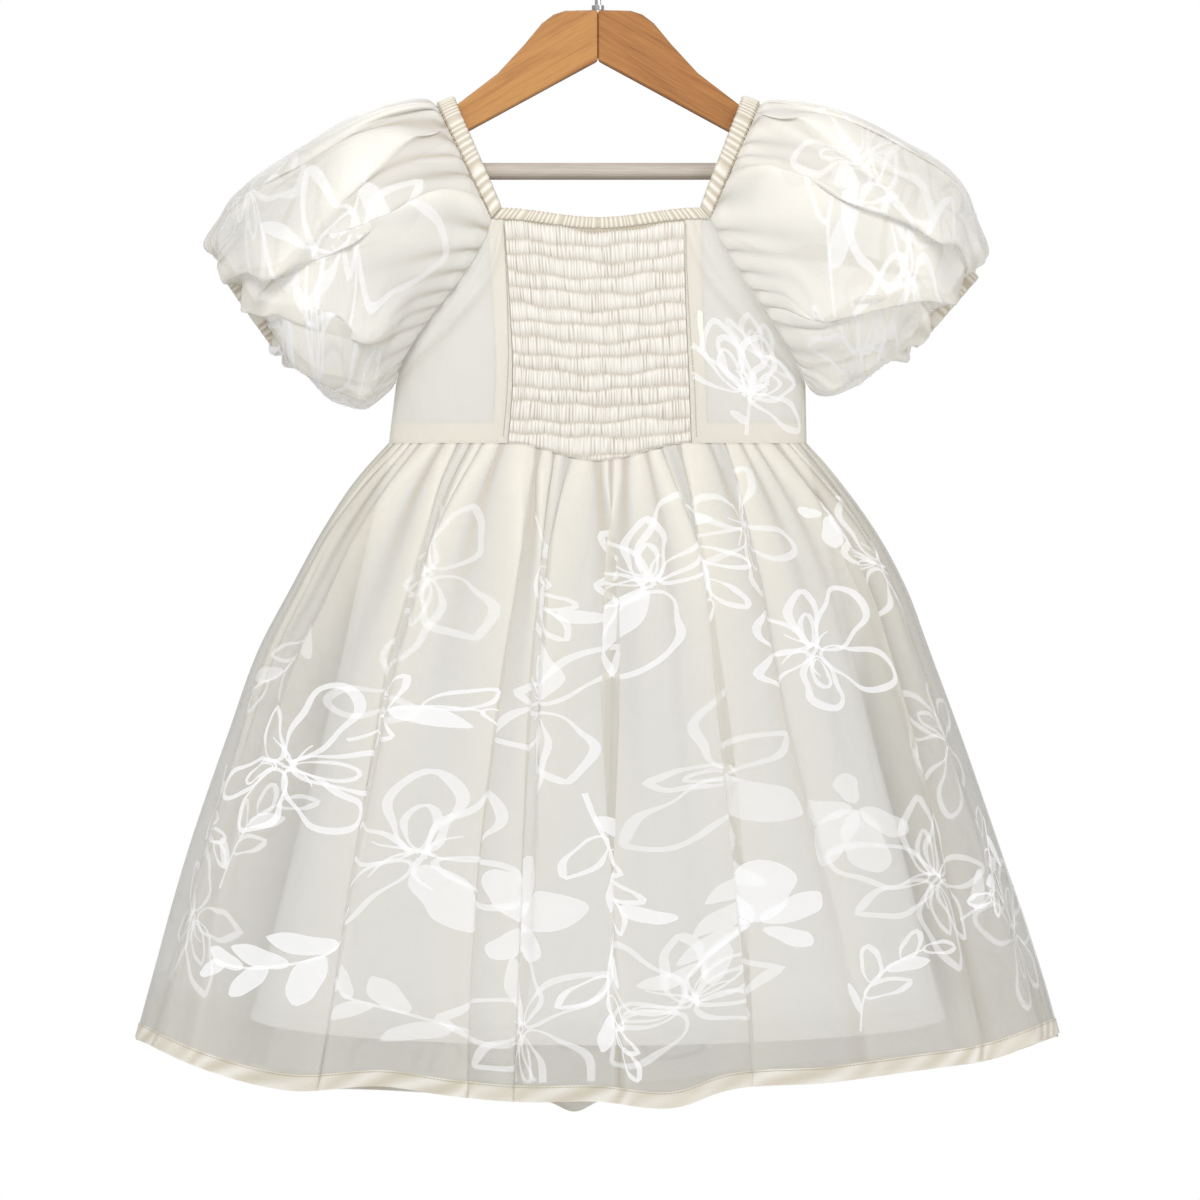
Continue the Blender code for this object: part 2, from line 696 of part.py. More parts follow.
def main():
    clear_scene()
    for name, sign in (("left", -1), ("right", 1)):
        build_arm("hanger_arm_" + name, sign)
    build_bar()
    build_collar()
    build_hook()
    build_smocked_front()
    for name, side, table in (("left", LEFT, LEFT_PUFF), ("right", RIGHT, RIGHT_PUFF)):
        build_side_front(name, side)
        build_sleeve("sleeve_" + name, side, table)
        build_cuff("sleeve_cuff_" + name, side, table)
        build_shoulder_casing("neck_casing_" + name, side)
    build_bodice_back()
    build_neck_band("neck_casing_front", False)
    build_neck_band("neck_casing_back", True)
    build_skirt("skirt_front", False, FRONT_GATHERS, 3)
    build_skirt("skirt_back", True, BACK_GATHERS, 3)
    build_skirt_lining("skirt_lining_front", False)
    build_skirt_lining("skirt_lining_back", True)


main()
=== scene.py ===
# %% [markdown]
# # A girl's organza party dress on a wooden hanger
#
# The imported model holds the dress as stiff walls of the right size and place. This lesson
# dresses it: sheer organza over a white lining, a shirred front, elastic casings, white flower
# outlines, and a varnished wooden hanger. Every cloth piece is a thin sheet, worked out by a
# function of two cloth coordinates, so the motifs can be laid on the same function.

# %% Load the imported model
import bpy
import numpy as np
from collections import namedtuple
from math import pi, radians
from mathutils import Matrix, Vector


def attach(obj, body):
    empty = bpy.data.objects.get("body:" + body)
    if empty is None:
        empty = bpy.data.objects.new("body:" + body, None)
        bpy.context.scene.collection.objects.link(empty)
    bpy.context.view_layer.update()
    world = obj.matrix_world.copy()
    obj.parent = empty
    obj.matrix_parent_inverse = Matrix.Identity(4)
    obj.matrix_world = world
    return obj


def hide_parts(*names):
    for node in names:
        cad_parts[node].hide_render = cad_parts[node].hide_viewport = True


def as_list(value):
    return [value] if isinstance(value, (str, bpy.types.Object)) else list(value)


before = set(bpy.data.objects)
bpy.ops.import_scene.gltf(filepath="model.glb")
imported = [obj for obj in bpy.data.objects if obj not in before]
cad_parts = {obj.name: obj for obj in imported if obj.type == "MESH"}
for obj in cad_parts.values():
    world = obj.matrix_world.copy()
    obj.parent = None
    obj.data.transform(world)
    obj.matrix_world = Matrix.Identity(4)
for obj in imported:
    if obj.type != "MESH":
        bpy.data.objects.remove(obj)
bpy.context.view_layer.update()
MM = 0.001
rng = np.random.default_rng(5)
print("nodes:", len(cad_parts))

# %% [markdown]
# ## Reading sizes from short tables
#
# A dressmaker's block is a short list of widths and depths at named levels. A smooth curve is
# passed through each column, so a sheet can have as many points as it needs while the tables
# stay short. The curve is a cubic with slopes taken from the neighbouring rows: it passes
# through every value, where a spline with free handles would need tuning.

# %% A smooth curve through a column
def column(table, name):
    return np.array([getattr(row, name) for row in table], float)


def read(table, key, name, at):
    keys, values = column(table, key), column(table, name)
    if keys[0] > keys[-1]:
        keys, values = keys[::-1], values[::-1]
    slopes = np.gradient(values, keys)
    at = np.clip(at, keys[0], keys[-1])
    i = np.clip(np.searchsorted(keys, at) - 1, 0, len(keys) - 2)
    step = keys[i + 1] - keys[i]
    t = (at - keys[i]) / step
    rise = values[i + 1] - values[i]
    bend = (slopes[i] * step - rise) * (1 - t) + (rise - slopes[i + 1] * step) * t
    return values[i] + rise * t + bend * t * (1 - t)


def smooth(t):
    t = np.clip(t, 0.0, 1.0)
    return t * t * (3 - 2 * t)


# %% [markdown]
# ## From a function to a sheet of cloth
#
# A piece of cloth is drawn here as a grid: rows run down the cloth and columns run across it.
# Each point also keeps its place on the flat cut as a UV, for the weave, and a value called
# shade, 0 in a crease and 1 on a ridge, which the cloth's colour follows: painted shade in the
# creases and painted highlight on the ridges.

# %% Grids into meshes
def make_object(name, points, faces, shade=None, uv=None, cover=None):
    mesh = bpy.data.meshes.new(name)
    mesh.from_pydata((np.asarray(points) * MM).tolist(), [], faces)
    mesh.polygons.foreach_set("use_smooth", [True] * len(mesh.polygons))
    value = np.ones(len(points)) if shade is None else np.clip(shade, 0, 1)
    mesh.attributes.new("shade", "FLOAT", "POINT").data.foreach_set("value", value.astype(np.float32))
    if cover is not None:
        kept = np.clip(cover, 0, 1).astype(np.float32)
        mesh.attributes.new("cover", "FLOAT", "POINT").data.foreach_set("value", kept)
    if uv is not None:
        corner = np.empty(len(mesh.loops), np.int32)
        mesh.loops.foreach_get("vertex_index", corner)
        mesh.uv_layers.new(name="cut").data.foreach_set("uv", np.asarray(uv, np.float32)[corner].ravel())
    piece = bpy.data.objects.new(name, mesh)
    bpy.context.scene.collection.objects.link(piece)
    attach(piece, "root")
    return piece


def grid_faces(rows, columns, wrap=False):
    r, c = np.meshgrid(np.arange(rows - 1), np.arange(columns if wrap else columns - 1), indexing="ij")
    d = (c + 1) % columns
    quads = np.stack([r * columns + c, (r + 1) * columns + c, (r + 1) * columns + d, r * columns + d], -1)
    return quads.reshape(-1, 4).tolist()


def let_light_through(*pieces):
    """Organza scatters light forward, so it casts no grey shadow on the lining under it."""
    for piece in pieces:
        piece.visible_shadow = False


def sheet_area(piece):
    return sum(face.area for face in piece.data.polygons)


def unit(vectors):
    return vectors / np.maximum(np.linalg.norm(vectors, axis=-1, keepdims=True), 1e-9)


def together(u, v):
    """Both cloth coordinates as arrays of one shape."""
    return np.broadcast_arrays(np.asarray(u, float), np.asarray(v, float))


def make_sheet(name, surface, rows, columns, size, cloth, shade=None, cover=None, wrap=False,
               span=(0, 1, 0, 1)):
    """A grid of the surface over span: u0, u1, v0, v1. The size is the flat cut in mm.

    Rows and columns are the grid's points down and across the cloth.
    """
    u0, u1, v0, v1 = span
    steps = np.arange(columns) / columns if wrap else np.linspace(0, 1, columns)
    across = u0 + (u1 - u0) * steps
    v, u = np.meshgrid(np.linspace(v0, v1, rows), across, indexing="ij")
    points = surface(u, v).reshape(-1, 3)
    uv = np.stack([u * size[0] * MM, -v * size[1] * MM], -1).reshape(-1, 2)
    tone = None if shade is None else shade(u, v).ravel()
    hiding = None if cover is None else cover(u, v).ravel()
    piece = make_object(name, points, grid_faces(rows, columns, wrap), tone, uv, hiding)
    piece.data.materials.append(cloth)
    print(name, "area", round(sheet_area(piece), 4), "m2")
    return piece


NORMAL_STEP = 2e-4


def raised(surface, u, v, height, turn_over=False):
    """Points of a surface moved out along its normal, found from two short steps on it."""
    across = surface(u + NORMAL_STEP, v) - surface(u - NORMAL_STEP, v)
    down = surface(u, v + NORMAL_STEP) - surface(u, v - NORMAL_STEP)
    out = unit(np.cross(down, across) * (-1 if turn_over else 1))
    return surface(u, v) + out * np.asarray(height)[..., None]


def lifted(surface, height):
    """The surface for a second layer of cloth that lies on the first."""
    def above(u, v):
        return raised(surface, u, v, height)
    return above


# %% [markdown]
# ## Cloth as a material
#
# Organza is a stiff, sheer plain weave of very fine yarns. Up close it is a net of threads, but
# from a step away it only veils what is behind it, so plain alpha does it and stays quick. Each
# sheet's cover value sets the alpha, so the cloth hides more where folds press layers together.
# The shade value darkens and warms the colour in the creases as painted shade and lightens it on
# the ridges as painted highlight, and two crossed waves in the flat cut's own coordinates give the
# weave its bump. Cloth with an alpha value would cast a grey shadow on the lining, which real
# organza hardly does, so the sheer pieces' shadows are switched off.

# %% Node helpers
def new_material(name):
    material = bpy.data.materials.new(name)
    material.use_nodes = True
    return material, material.node_tree.nodes, material.node_tree.links


def add_node(nodes, kind, **values):
    node = nodes.new(kind)
    for key, value in values.items():
        if key in node.inputs:
            node.inputs[key].default_value = value
        else:
            setattr(node, key, value)
    return node


def connect(links, *joints):
    """Each joint is a node and its output, then the next node and its input."""
    for source, socket, target, entry in joints:
        links.new(source.outputs[socket], target.inputs[entry])


def ramp(nodes, stops):
    node = nodes.new("ShaderNodeValToRGB")
    for k, (place, colour) in enumerate(stops):
        stop = node.color_ramp.elements[k] if k < 2 else node.color_ramp.elements.new(place)
        stop.position, stop.color = place, (*colour, 1)
    return node


# %% The woven cloths
# A wave texture repeats every 2 * pi / (20 * scale) metres, 2 mm here. Real yarns are finer than
# a pixel of the picture, so the bands only break up the cloth's shine.
WEAVE_SCALE = 156.25
WEAVE_RELIEF = 0.0001
# Soft dents about 24 mm apart across the cloth and twice that down it.
CRINKLE_SCALE = 42.0
CRINKLE_STRETCH = (1.0, 0.45, 1.0)
CRINKLE_RELIEF = 0.004


def weave_bump(nodes, links, shader, strength, crinkle):
    place = add_node(nodes, "ShaderNodeUVMap", uv_map="cut")
    both = add_node(nodes, "ShaderNodeMath", operation="ADD")
    bump = add_node(nodes, "ShaderNodeBump", Strength=strength, Distance=WEAVE_RELIEF)
    for socket, direction in enumerate("XY"):
        wave = add_node(nodes, "ShaderNodeTexWave", Scale=WEAVE_SCALE, bands_direction=direction)
        connect(links, (place, "UV", wave, "Vector"), (wave, "Fac", both, socket))
    connect(links, (both, 0, bump, "Height"), (bump, "Normal", shader, "Normal"))
    if crinkle:
        wide = add_node(nodes, "ShaderNodeMapping", Scale=CRINKLE_STRETCH)
        noise = add_node(nodes, "ShaderNodeTexNoise", Scale=CRINKLE_SCALE, Detail=2.0,
                         Roughness=0.45, Distortion=0.6)
        soft = add_node(nodes, "ShaderNodeBump", Strength=crinkle, Distance=CRINKLE_RELIEF)
        connect(links, (place, "UV", wide, "Vector"), (wide, "Vector", noise, "Vector"),
                (noise, "Fac", soft, "Height"), (soft, "Normal", bump, "Normal"))


def cloth_material(name, crease, ridge, alpha, roughness, sheen, weave=0.25, plain=None, crinkle=0.0):
    """The colour runs from crease over plain to ridge, painted shade in the creases and painted highlight on
    the ridges; with no alpha the cover value sets it.
    """
    material, nodes, links = new_material(name)
    shader = nodes["Principled BSDF"]
    tone = add_node(nodes, "ShaderNodeAttribute", attribute_name="shade")
    stops = [(0.0, crease), (1.0, ridge)]
    if plain is not None:
        stops.append((0.5, plain))
    colours = ramp(nodes, stops)
    connect(links, (tone, "Fac", colours, "Fac"), (colours, "Color", shader, "Base Color"))
    weave_bump(nodes, links, shader, weave, crinkle)
    shader.inputs["Roughness"].default_value = roughness
    shader.inputs["Sheen Weight"].default_value = sheen
    if alpha is None:
        cover = add_node(nodes, "ShaderNodeAttribute", attribute_name="cover")
        connect(links, (cover, "Fac", shader, "Alpha"))
    else:
        shader.inputs["Alpha"].default_value = alpha
    return material


ORGANZA = cloth_material("organza", (0.44, 0.37, 0.26), (0.76, 0.72, 0.62), None, 0.5, 0.4,
                         plain=(0.525, 0.51, 0.468), crinkle=0.5)
# The back skirt's organza is a darker copy of the same cloth: painted shade for the light that the front
# layer and the lining hold back.
BACK_ORGANZA_SHADED = cloth_material("organza_behind_shaded", (0.39, 0.34, 0.25), (0.67, 0.64, 0.57), None, 0.5, 0.2,
                              plain=(0.45, 0.438, 0.403), crinkle=0.5)
SLEEVE_CLOTH = cloth_material("sleeve_organza", (0.54, 0.475, 0.36), (0.94, 0.91, 0.83), None, 0.5, 0.5,
                              plain=(0.78, 0.76, 0.705), crinkle=0.8)
HEM_CLOTH = cloth_material("turned_hem", (0.56, 0.50, 0.38), (0.90, 0.88, 0.83), 0.80, 0.35, 0.35,
                           plain=(0.71, 0.67, 0.58))
SIDE_CLOTH = cloth_material("bodice_organza", (0.50, 0.455, 0.37), (0.64, 0.625, 0.575),
                            0.55, 0.45, 0.4, crinkle=0.4)
BACK_CLOTH = cloth_material("back_organza", (0.60, 0.56, 0.46), (0.76, 0.745, 0.69),
                            0.92, 0.45, 0.4, crinkle=0.6)
SHIRRED = cloth_material("shirred_satin", (0.44, 0.37, 0.265), (0.90, 0.875, 0.815), 1.0, 0.36, 0.25)
CASING = cloth_material("elastic_casing", (0.50, 0.42, 0.29), (0.90, 0.865, 0.78), 1.0, 0.42, 0.25)
LINING = cloth_material("white_lining", (0.78, 0.78, 0.765), (0.85, 0.85, 0.84), 1.0, 0.7, 0.1, crinkle=0.3)
ALLOWANCE = cloth_material("seam_allowance", (0.80, 0.76, 0.66), (0.92, 0.885, 0.80), 1.0, 0.6, 0.1)
MOTIF = cloth_material("white_flock", (0.86, 0.86, 0.87), (0.92, 0.92, 0.935), None, 0.75, 0.15, 0.1)
THREADS = cloth_material("sewing_thread", (0.32, 0.24, 0.14), (0.46, 0.37, 0.24), 1.0, 0.6, 0.1)
print("cloth materials:", len(bpy.data.materials))

# %% [markdown]
# ## The body of the dress
#
# Everything hangs from the hanger, so levels are millimetres below the hook's inside top. The
# armhole starts at the shoulder, leans in to the neck corner and swings back out to the
# underarm; below it the side seam drops to the waist. The depth of the bodice is an ellipse
# across its width, flattened as it hangs.

# %% Body sizes
NECK_TOP, NECK_SAG, NECK_HALF_WIDTH = -209.6, 6.5, 68.0
BAND_HEIGHT = 8.2
WAIST_Z, WAIST_SAG, SAG_HALF_WIDTH = -369.5, 12.0, 64.0
NECK_CORNER = 0.41
SETTLING_ROUNDS = 5

Side = namedtuple("Side", "name sign top_x top_z under_x under_z waist_x lean straight")
LEFT = Side("left", -1, 109.5, -139.6, 137.5, -328.6, 142.5, 48.3, 0.15)
RIGHT = Side("right", 1, 110.0, -139.0, 141.4, -328.6, 142.2, 46.2, 0.6)

Body = namedtuple("Body", "z depth smock_left smock_right")
BODY = [
    Body(-209.0, 22.0, 64.6, 58.8),
    Body(-237.5, 26.0, 62.4, 58.8),
    Body(-284.0, 29.5, 59.2, 60.0),
    Body(-329.0, 30.5, 57.9, 61.9),
    Body(-370.0, 28.0, 61.0, 63.4),
]


def half_width(side, z):
    t = np.clip((side.under_z - z) / (side.under_z - WAIST_Z), 0, 1)
    return side.under_x + (side.waist_x - side.under_x) * t


def width_at(x, z):
    return np.where(x < 0, half_width(LEFT, z), half_width(RIGHT, z))


def body_depth(x, z):
    share = np.clip(np.abs(x) / width_at(x, z), 0, 1)
    return read(BODY, "z", "depth", z) * np.sqrt(1 - share**2)


def armhole_fall(side, s):
    t = np.clip((s - NECK_CORNER) / (1 - NECK_CORNER), 0, 1)
    lower = (1 + np.cos(pi * t)) / 2 * (1 - side.straight) + (1 - t) * side.straight
    return np.where(s < NECK_CORNER, s / NECK_CORNER, lower)


def edge_x(side, z):
    s = np.clip((side.top_z - z) / (side.top_z - side.under_z), 0, 1)
    straight = side.top_x + (side.under_x - side.top_x) * s
    armhole = straight - side.lean * armhole_fall(side, s)
    return np.where(z < side.under_z, half_width(side, z), armhole)


def neck_z(x):
    return NECK_TOP - NECK_SAG * np.cos(pi / 2 * np.minimum(np.abs(x) / NECK_HALF_WIDTH, 1)) ** 2


def waist_z(x):
    return WAIST_Z - WAIST_SAG * np.cos(pi / 2 * np.minimum(np.abs(x) / SAG_HALF_WIDTH, 1)) ** 2


def panel_surface(left, right, back=False, sink=0.0, folds=None):
    """A bodice panel between two edges given as x at a level, u across and v down.

    A point's level sets its place across and its place sets its level, so both are worked out
    in a few rounds.
    """
    def surface(u, v):
        u, v = together(u, v)
        z = np.full(u.shape, NECK_TOP - BAND_HEIGHT)
        for _ in range(SETTLING_ROUNDS):
            a = np.arcsin(np.clip(left(z) / width_at(left(z), z), -1, 1))
            b = np.arcsin(np.clip(right(z) / width_at(right(z), z), -1, 1))
            turn = a + (b - a) * (1 - u if back else u)
            x = width_at(turn, z) * np.sin(turn)
            top = neck_z(x) - BAND_HEIGHT
            z = top + (waist_z(x) - top) * v
        y = body_depth(x, z) - sink
        if folds is not None:
            y = y + folds(u, v)
        return np.stack([x, y if back else -y, z], -1)
    return surface


def smock_left(z):
    return -read(BODY, "z", "smock_left", z)


def smock_right(z):
    return read(BODY, "z", "smock_right", z)


# %% [markdown]
# ## The shirred front
#
# About fourteen rows of elastic thread, 11 mm apart, pull the centre panel in to less than half
# of its flat width. Between two rows the cloth stands out in narrow puckers of uneven width, and
# it sags a little over the row below. Noise would make it lumpy at random, so each row gets its
# own list of pucker edges from a seeded generator and the height is worked out from the place
# inside its pucker and inside its row. The rows are sewn nearly level while the waist seam curves
# down, so the middle has room for almost one row more than the edges.

# %% The shirring's relief
# A list of puckers for every row that may show, with one to spare.
ROW_LISTS = 16
ROWS_AT_EDGES = 13.7
ROWS_AT_MIDDLE = 14.5
PUCKERS = 58
PUCKER_RISE = 2.6
SMOCK_GAP, SMOCK_SINK = 0.2, 0.8


def pucker_edges(count):
    steps = rng.uniform(0.55, 1.45, count)
    edges = np.concatenate([[0], np.cumsum(steps)])
    return edges / edges[-1]


ROW_EDGES = [pucker_edges(PUCKERS) for _ in range(ROW_LISTS)]
ROW_HEIGHTS = rng.uniform(0.62, 1.0, (ROW_LISTS, PUCKERS + 1))
ROW_TILT = rng.uniform(-0.5, 0.5, (ROW_LISTS, PUCKERS + 1))
# How dark each pucker's slits are painted, as painted shade; it sets no depth.
SLIT_SHADE = rng.uniform(0, 1, (ROW_LISTS, PUCKERS + 1)) ** 1.6


def shirring(u, v):
    """Height in mm and painted shade of the shirred cloth: dark in the slits and along the sewn rows, light
    on the puckers.
    """
    more_in_middle = (ROWS_AT_MIDDLE - ROWS_AT_EDGES) * np.sin(pi * np.clip(u, 0, 1)) ** 2
    level = v * (ROWS_AT_EDGES + more_in_middle)
    wander = 0.09 * np.sin(7 * u + 40 * v) + 0.06 * np.sin(23 * u - 17 * v)
    droop = 0.16 * np.abs(np.sin(pi * PUCKERS * u + 3 * np.floor(level - 0.5))) ** 0.7
    place = np.clip(level + wander - droop, 0, ROW_LISTS - 1e-6)
    row = place.astype(int)
    sewn_down = smooth((1 - v) / 0.012)
    inside = place - row
    height = np.zeros(u.shape)
    valley = np.zeros(u.shape)
    for r in range(ROW_LISTS):
        here = row == r
        if not here.any():
            continue
        across = np.clip(u[here], 0, 1)
        down = inside[here]
        k = np.clip(np.searchsorted(ROW_EDGES[r], across, side="right") - 1, 0, PUCKERS - 1)
        left, right = ROW_EDGES[r][k], ROW_EDGES[r][k + 1]
        tilt = ROW_TILT[r][k] * (down - 0.5) * 0.5
        local = np.clip((across - left) / (right - left) + tilt, 0, 1)
        ridge = np.sin(pi * local) ** 0.8
        slit = np.where(local < 0.5, SLIT_SHADE[r][k], SLIT_SHADE[r][k + 1])
        swell = np.sin(pi * down**0.8) ** 0.6
        height[here] = PUCKER_RISE * ROW_HEIGHTS[r][k] * swell * (0.3 + 0.7 * ridge)
        darkest = 1 - (0.25 + 0.75 * slit) * (1 - ridge)
        # The painted shade: darkest in the slits, darker towards the sewn rows, lighter on the puckers.
        valley[here] = swell**0.55 * darkest * (0.8 + 0.2 * ROW_HEIGHTS[r][k])
    return height * sewn_down, valley


def smock_gap_left(z):
    return smock_left(z) + SMOCK_GAP


def smock_gap_right(z):
    return smock_right(z) - SMOCK_GAP


shirred_plain = panel_surface(smock_gap_left, smock_gap_right, sink=SMOCK_SINK)


def shirred_surface(u, v):
    height, _ = shirring(*together(u, v))
    return raised(shirred_plain, u, v, height)


def shirred_shade(u, v):
    return 0.12 + 0.95 * shirring(u, v)[1]


SHIRRED_CUT = (300, 200)
shirred = make_sheet("shirred_front", shirred_surface, 209, 320, SHIRRED_CUT,
                     SHIRRED, shirred_shade)
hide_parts("bodice_front_smocked")

# %% [markdown]
# ## Side fronts, their lining and the back
#
# Each side front is a flat panel of organza over white lining. The cream bands inside it are
# the seam allowances, which show through the sheer cloth, so they are real strips between the
# two layers and not painted bands. A few soft hills slant across each panel, the way cloth hangs
# from a neck corner, and the same hills are painted on the colour as light on their crests and
# shade below them, with a painted shadow of the sleeve along the panel's outer edge.

# %% The side fronts
LAYER = 1.5
EDGE_GAP = 0.3
ALLOWANCE_WIDTH = 11.0
SIDE_PANEL_CUT = (95, 160)
WHOLE_SHEET, WAIST_STRIP, SIDE_STRIP = (0, 1, 0, 1), (0, 1, 0.91, 1), (0.86, 1, 0.74, 1)
SLANTS = {"left": ((0.86, -1.15, 0.10), (0.55, -0.75, 0.13), (0.16, -0.05, 0.07)),
          "right": ((0.10, 1.25, 0.10), (0.42, 0.80, 0.12), (0.88, 0.02, 0.05))}


def side_hills(side, u, v):
    """Soft slanting folds: each line starts at a place along the top and leans as it goes down."""
    return [np.exp(-(((u - at - lean * v) / wide) ** 2)) for at, lean, wide in SLANTS[side.name]]


def side_folds(side):
    def folds(u, v):
        rim = np.sin(pi * np.clip(u, 0, 1)) ** 0.6 * np.sin(pi * np.clip(v, 0, 1)) ** 0.5
        hills = side_hills(side, u, v)
        return rim * (2.6 * hills[0] + 1.8 * hills[1] + 1.5 * hills[2] + 0.5 * np.sin(13 * u - 6 * v) - 1.0)
    return folds


# Painted light and shade on the side fronts: lighter on the slanting hills, painted shade just below them and
# a painted shadow of the sleeve along the outer edge.
def side_shade(side):
    def shade(u, v):
        hills = side_hills(side, u, v)
        under = side_hills(side, u + side.sign * 0.10, v)
        inner = u if side is RIGHT else 1 - u
        # The painted shadow of the sleeve along the armhole edge.
        rim = np.exp(-(1 - inner) / 0.10)
        return 0.74 + 0.26 * hills[0] + 0.2 * hills[1] - 0.30 * under[0] - 0.22 * under[1] - 0.12 * rim
    return shade


def build_side_front(side):
    def outer(z):
        return side.sign * (edge_x(side, z) - EDGE_GAP)

    def inner(z):
        return (smock_left(z) if side is LEFT else smock_right(z)) + side.sign * SMOCK_GAP

    def seam_in(z):
        """Where the allowance that was folded back at the smocking ends."""
        return side.sign * np.minimum(np.abs(inner(z)) + ALLOWANCE_WIDTH, np.abs(outer(z)))

    edges = (outer, inner) if side is LEFT else (inner, outer)
    beside = (seam_in, inner) if side is LEFT else (inner, seam_in)
    sheer = panel_surface(*edges, sink=EDGE_GAP, folds=side_folds(side))
    panel = make_sheet("side_front_" + side.name, sheer, 70, 60, SIDE_PANEL_CUT,
                       SIDE_CLOTH, side_shade(side))
    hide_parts("bodice_side_front_" + side.name)
    let_light_through(panel)
    backing = panel_surface(*edges, sink=EDGE_GAP + LAYER)
    lining = make_sheet("side_lining_" + side.name, backing, 30, 26, SIDE_PANEL_CUT, LINING)
    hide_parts("bodice_lining_" + side.name)
    between = panel_surface(*edges, sink=EDGE_GAP + LAYER / 2)
    along_seam = panel_surface(*beside, sink=EDGE_GAP + LAYER / 2)
    strips = [("allowance_smock_", along_seam, WHOLE_SHEET), ("allowance_waist_", between, WAIST_STRIP)]
    if side is RIGHT:
        strips.append(("allowance_side_", between, SIDE_STRIP))
    made = []
    for name, place, span in strips:
        made.append(make_sheet(name + side.name, place, 30, 12, SIDE_PANEL_CUT,
                               ALLOWANCE, span=span))
    sheet_area(lining)
    return sheer, panel, made


SHEER_LEFT, side_front_left, strips_left = build_side_front(LEFT)
SHEER_RIGHT, side_front_right, strips_right = build_side_front(RIGHT)


# %% [markdown]
# ## The back
#
# The shirred front stretches enough to put the dress on, so the back needs no opening: it is one
# plain panel. Two waves that grow towards the waist keep it from looking like a board.

# %% The back panel
BACK_CUT = (285, 160)


def back_left(z):
    return EDGE_GAP - edge_x(LEFT, z)


def back_right(z):
    return edge_x(RIGHT, z) - EDGE_GAP


def back_folds(u, v):
    rim = np.sin(pi * np.clip(u, 0, 1)) ** 0.5
    waves = 0.8 * np.sin(11 * u + 3 * v) + 0.6 * np.sin(26 * u - 4 * v)
    return rim * waves * (0.4 + 0.6 * np.clip(v, 0, 1))


back_surface = panel_surface(back_left, back_right, True, EDGE_GAP, back_folds)
back_panel = make_sheet("bodice_back_panel", back_surface, 70, 150, BACK_CUT, BACK_CLOTH)
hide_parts("bodice_back")
sheet_area(back_panel)

# %% [markdown]
# ## The skirt
#
# The skirt is cut far wider than the waist and gathered into it. Just under the seam each
# gather doubles over itself, which is what draws the cream streaks there, so the cloth is
# moved sideways as well as out. Lower down only a few long folds are left. They are listed
# one by one: where each lies, how wide and high it is, and how far it laps over itself.

# %% Skirt sections and folds
# The cream streaks under the waist seam are partly painted: the shade value adds painted highlight on the
# gather ridges and painted shade between them.
Skirt = namedtuple("Skirt", "z left right depth lining lining_depth")
SKIRT = [
    Skirt(-368.0, 142.5, 142.2, 28.0, 140.8, 26.2),
    Skirt(-393.0, 164.5, 163.0, 35.0, 146.5, 28.5),
    Skirt(-426.0, 186.5, 187.0, 41.0, 154.0, 31.5),
    Skirt(-469.0, 210.0, 210.0, 47.0, 164.0, 35.0),
    Skirt(-503.0, 228.0, 222.5, 51.0, 171.0, 37.5),
    Skirt(-566.5, 251.5, 246.0, 57.0, 185.0, 42.0),
    Skirt(-642.0, 277.5, 272.0, 62.0, 204.0, 47.0),
    Skirt(-741.0, 305.5, 304.5, 68.0, 228.0, 52.0),
    Skirt(-772.0, 314.0, 313.0, 70.0, 236.0, 54.0),
]
Edge = namedtuple("Edge", "x front back")
HEM = [
    Edge(-314.0, -773.0, -775.0),
    Edge(-271.0, -791.7, -794.5),
    Edge(-212.0, -806.5, -808.0),
    Edge(-141.0, -804.0, -812.0),
    Edge(-102.0, -809.5, -814.5),
    Edge(-52.0, -814.0, -818.0),
    Edge(-3.0, -813.5, -817.5),
    Edge(59.0, -816.5, -815.0),
    Edge(80.0, -808.5, -811.0),
    Edge(161.0, -801.0, -802.5),
    Edge(205.0, -795.0, -797.5),
    Edge(270.0, -785.0, -789.5),
    Edge(313.0, -770.0, -773.0),
]
Fold = namedtuple("Fold", "at width rise lap hem")
FRONT_FOLDS = [
    Fold(0.130, 0.030, 5.0, -17.0, 0.6),
    Fold(0.200, 0.022, 5.5, -15.0, 0.5),
    Fold(0.262, 0.018, 7.0, 19.0, 0.75),
    Fold(0.318, 0.016, 5.0, -13.0, 0.4),
    Fold(0.372, 0.017, 7.5, 18.0, 0.9),
    Fold(0.412, 0.012, 5.5, 12.0, 0.8),
    Fold(0.463, 0.014, 6.5, -13.0, 0.35),
    Fold(0.508, 0.012, 5.0, 11.0, 0.3),
    Fold(0.545, 0.016, 7.0, -16.0, 0.5),
    Fold(0.600, 0.014, 6.0, 13.0, 0.4),
    Fold(0.643, 0.015, 7.5, -18.0, 0.9),
    Fold(0.715, 0.020, 7.0, -18.0, 0.5),
    Fold(0.790, 0.022, 6.0, 17.0, 0.5),
    Fold(0.870, 0.028, 5.0, 14.0, 0.5),
]
BACK_FOLDS = [
    Fold(0.120, 0.028, 5.5, 15.0, 0.6),
    Fold(0.215, 0.022, 6.5, -17.0, 0.6),
    Fold(0.300, 0.017, 6.0, 15.0, 0.5),
    Fold(0.365, 0.016, 7.0, -16.0, 0.8),
    Fold(0.440, 0.015, 6.0, 14.0, 0.4),
    Fold(0.520, 0.016, 7.5, -17.0, 0.9),
    Fold(0.590, 0.014, 6.0, 13.0, 0.5),
    Fold(0.665, 0.018, 7.0, 17.0, 0.8),
    Fold(0.755, 0.020, 6.0, -16.0, 0.5),
    Fold(0.865, 0.028, 5.0, 15.0, 0.6),
]
FRONT_GATHERS, BACK_GATHERS = 29, 23
SKIRT_CUT = (760.0, 452.0)
HEM_DEPTH = 11.0
BACK_DIP_X, BACK_DIP, BACK_DIP_WIDTH = -16.0, 9.0, 14.0
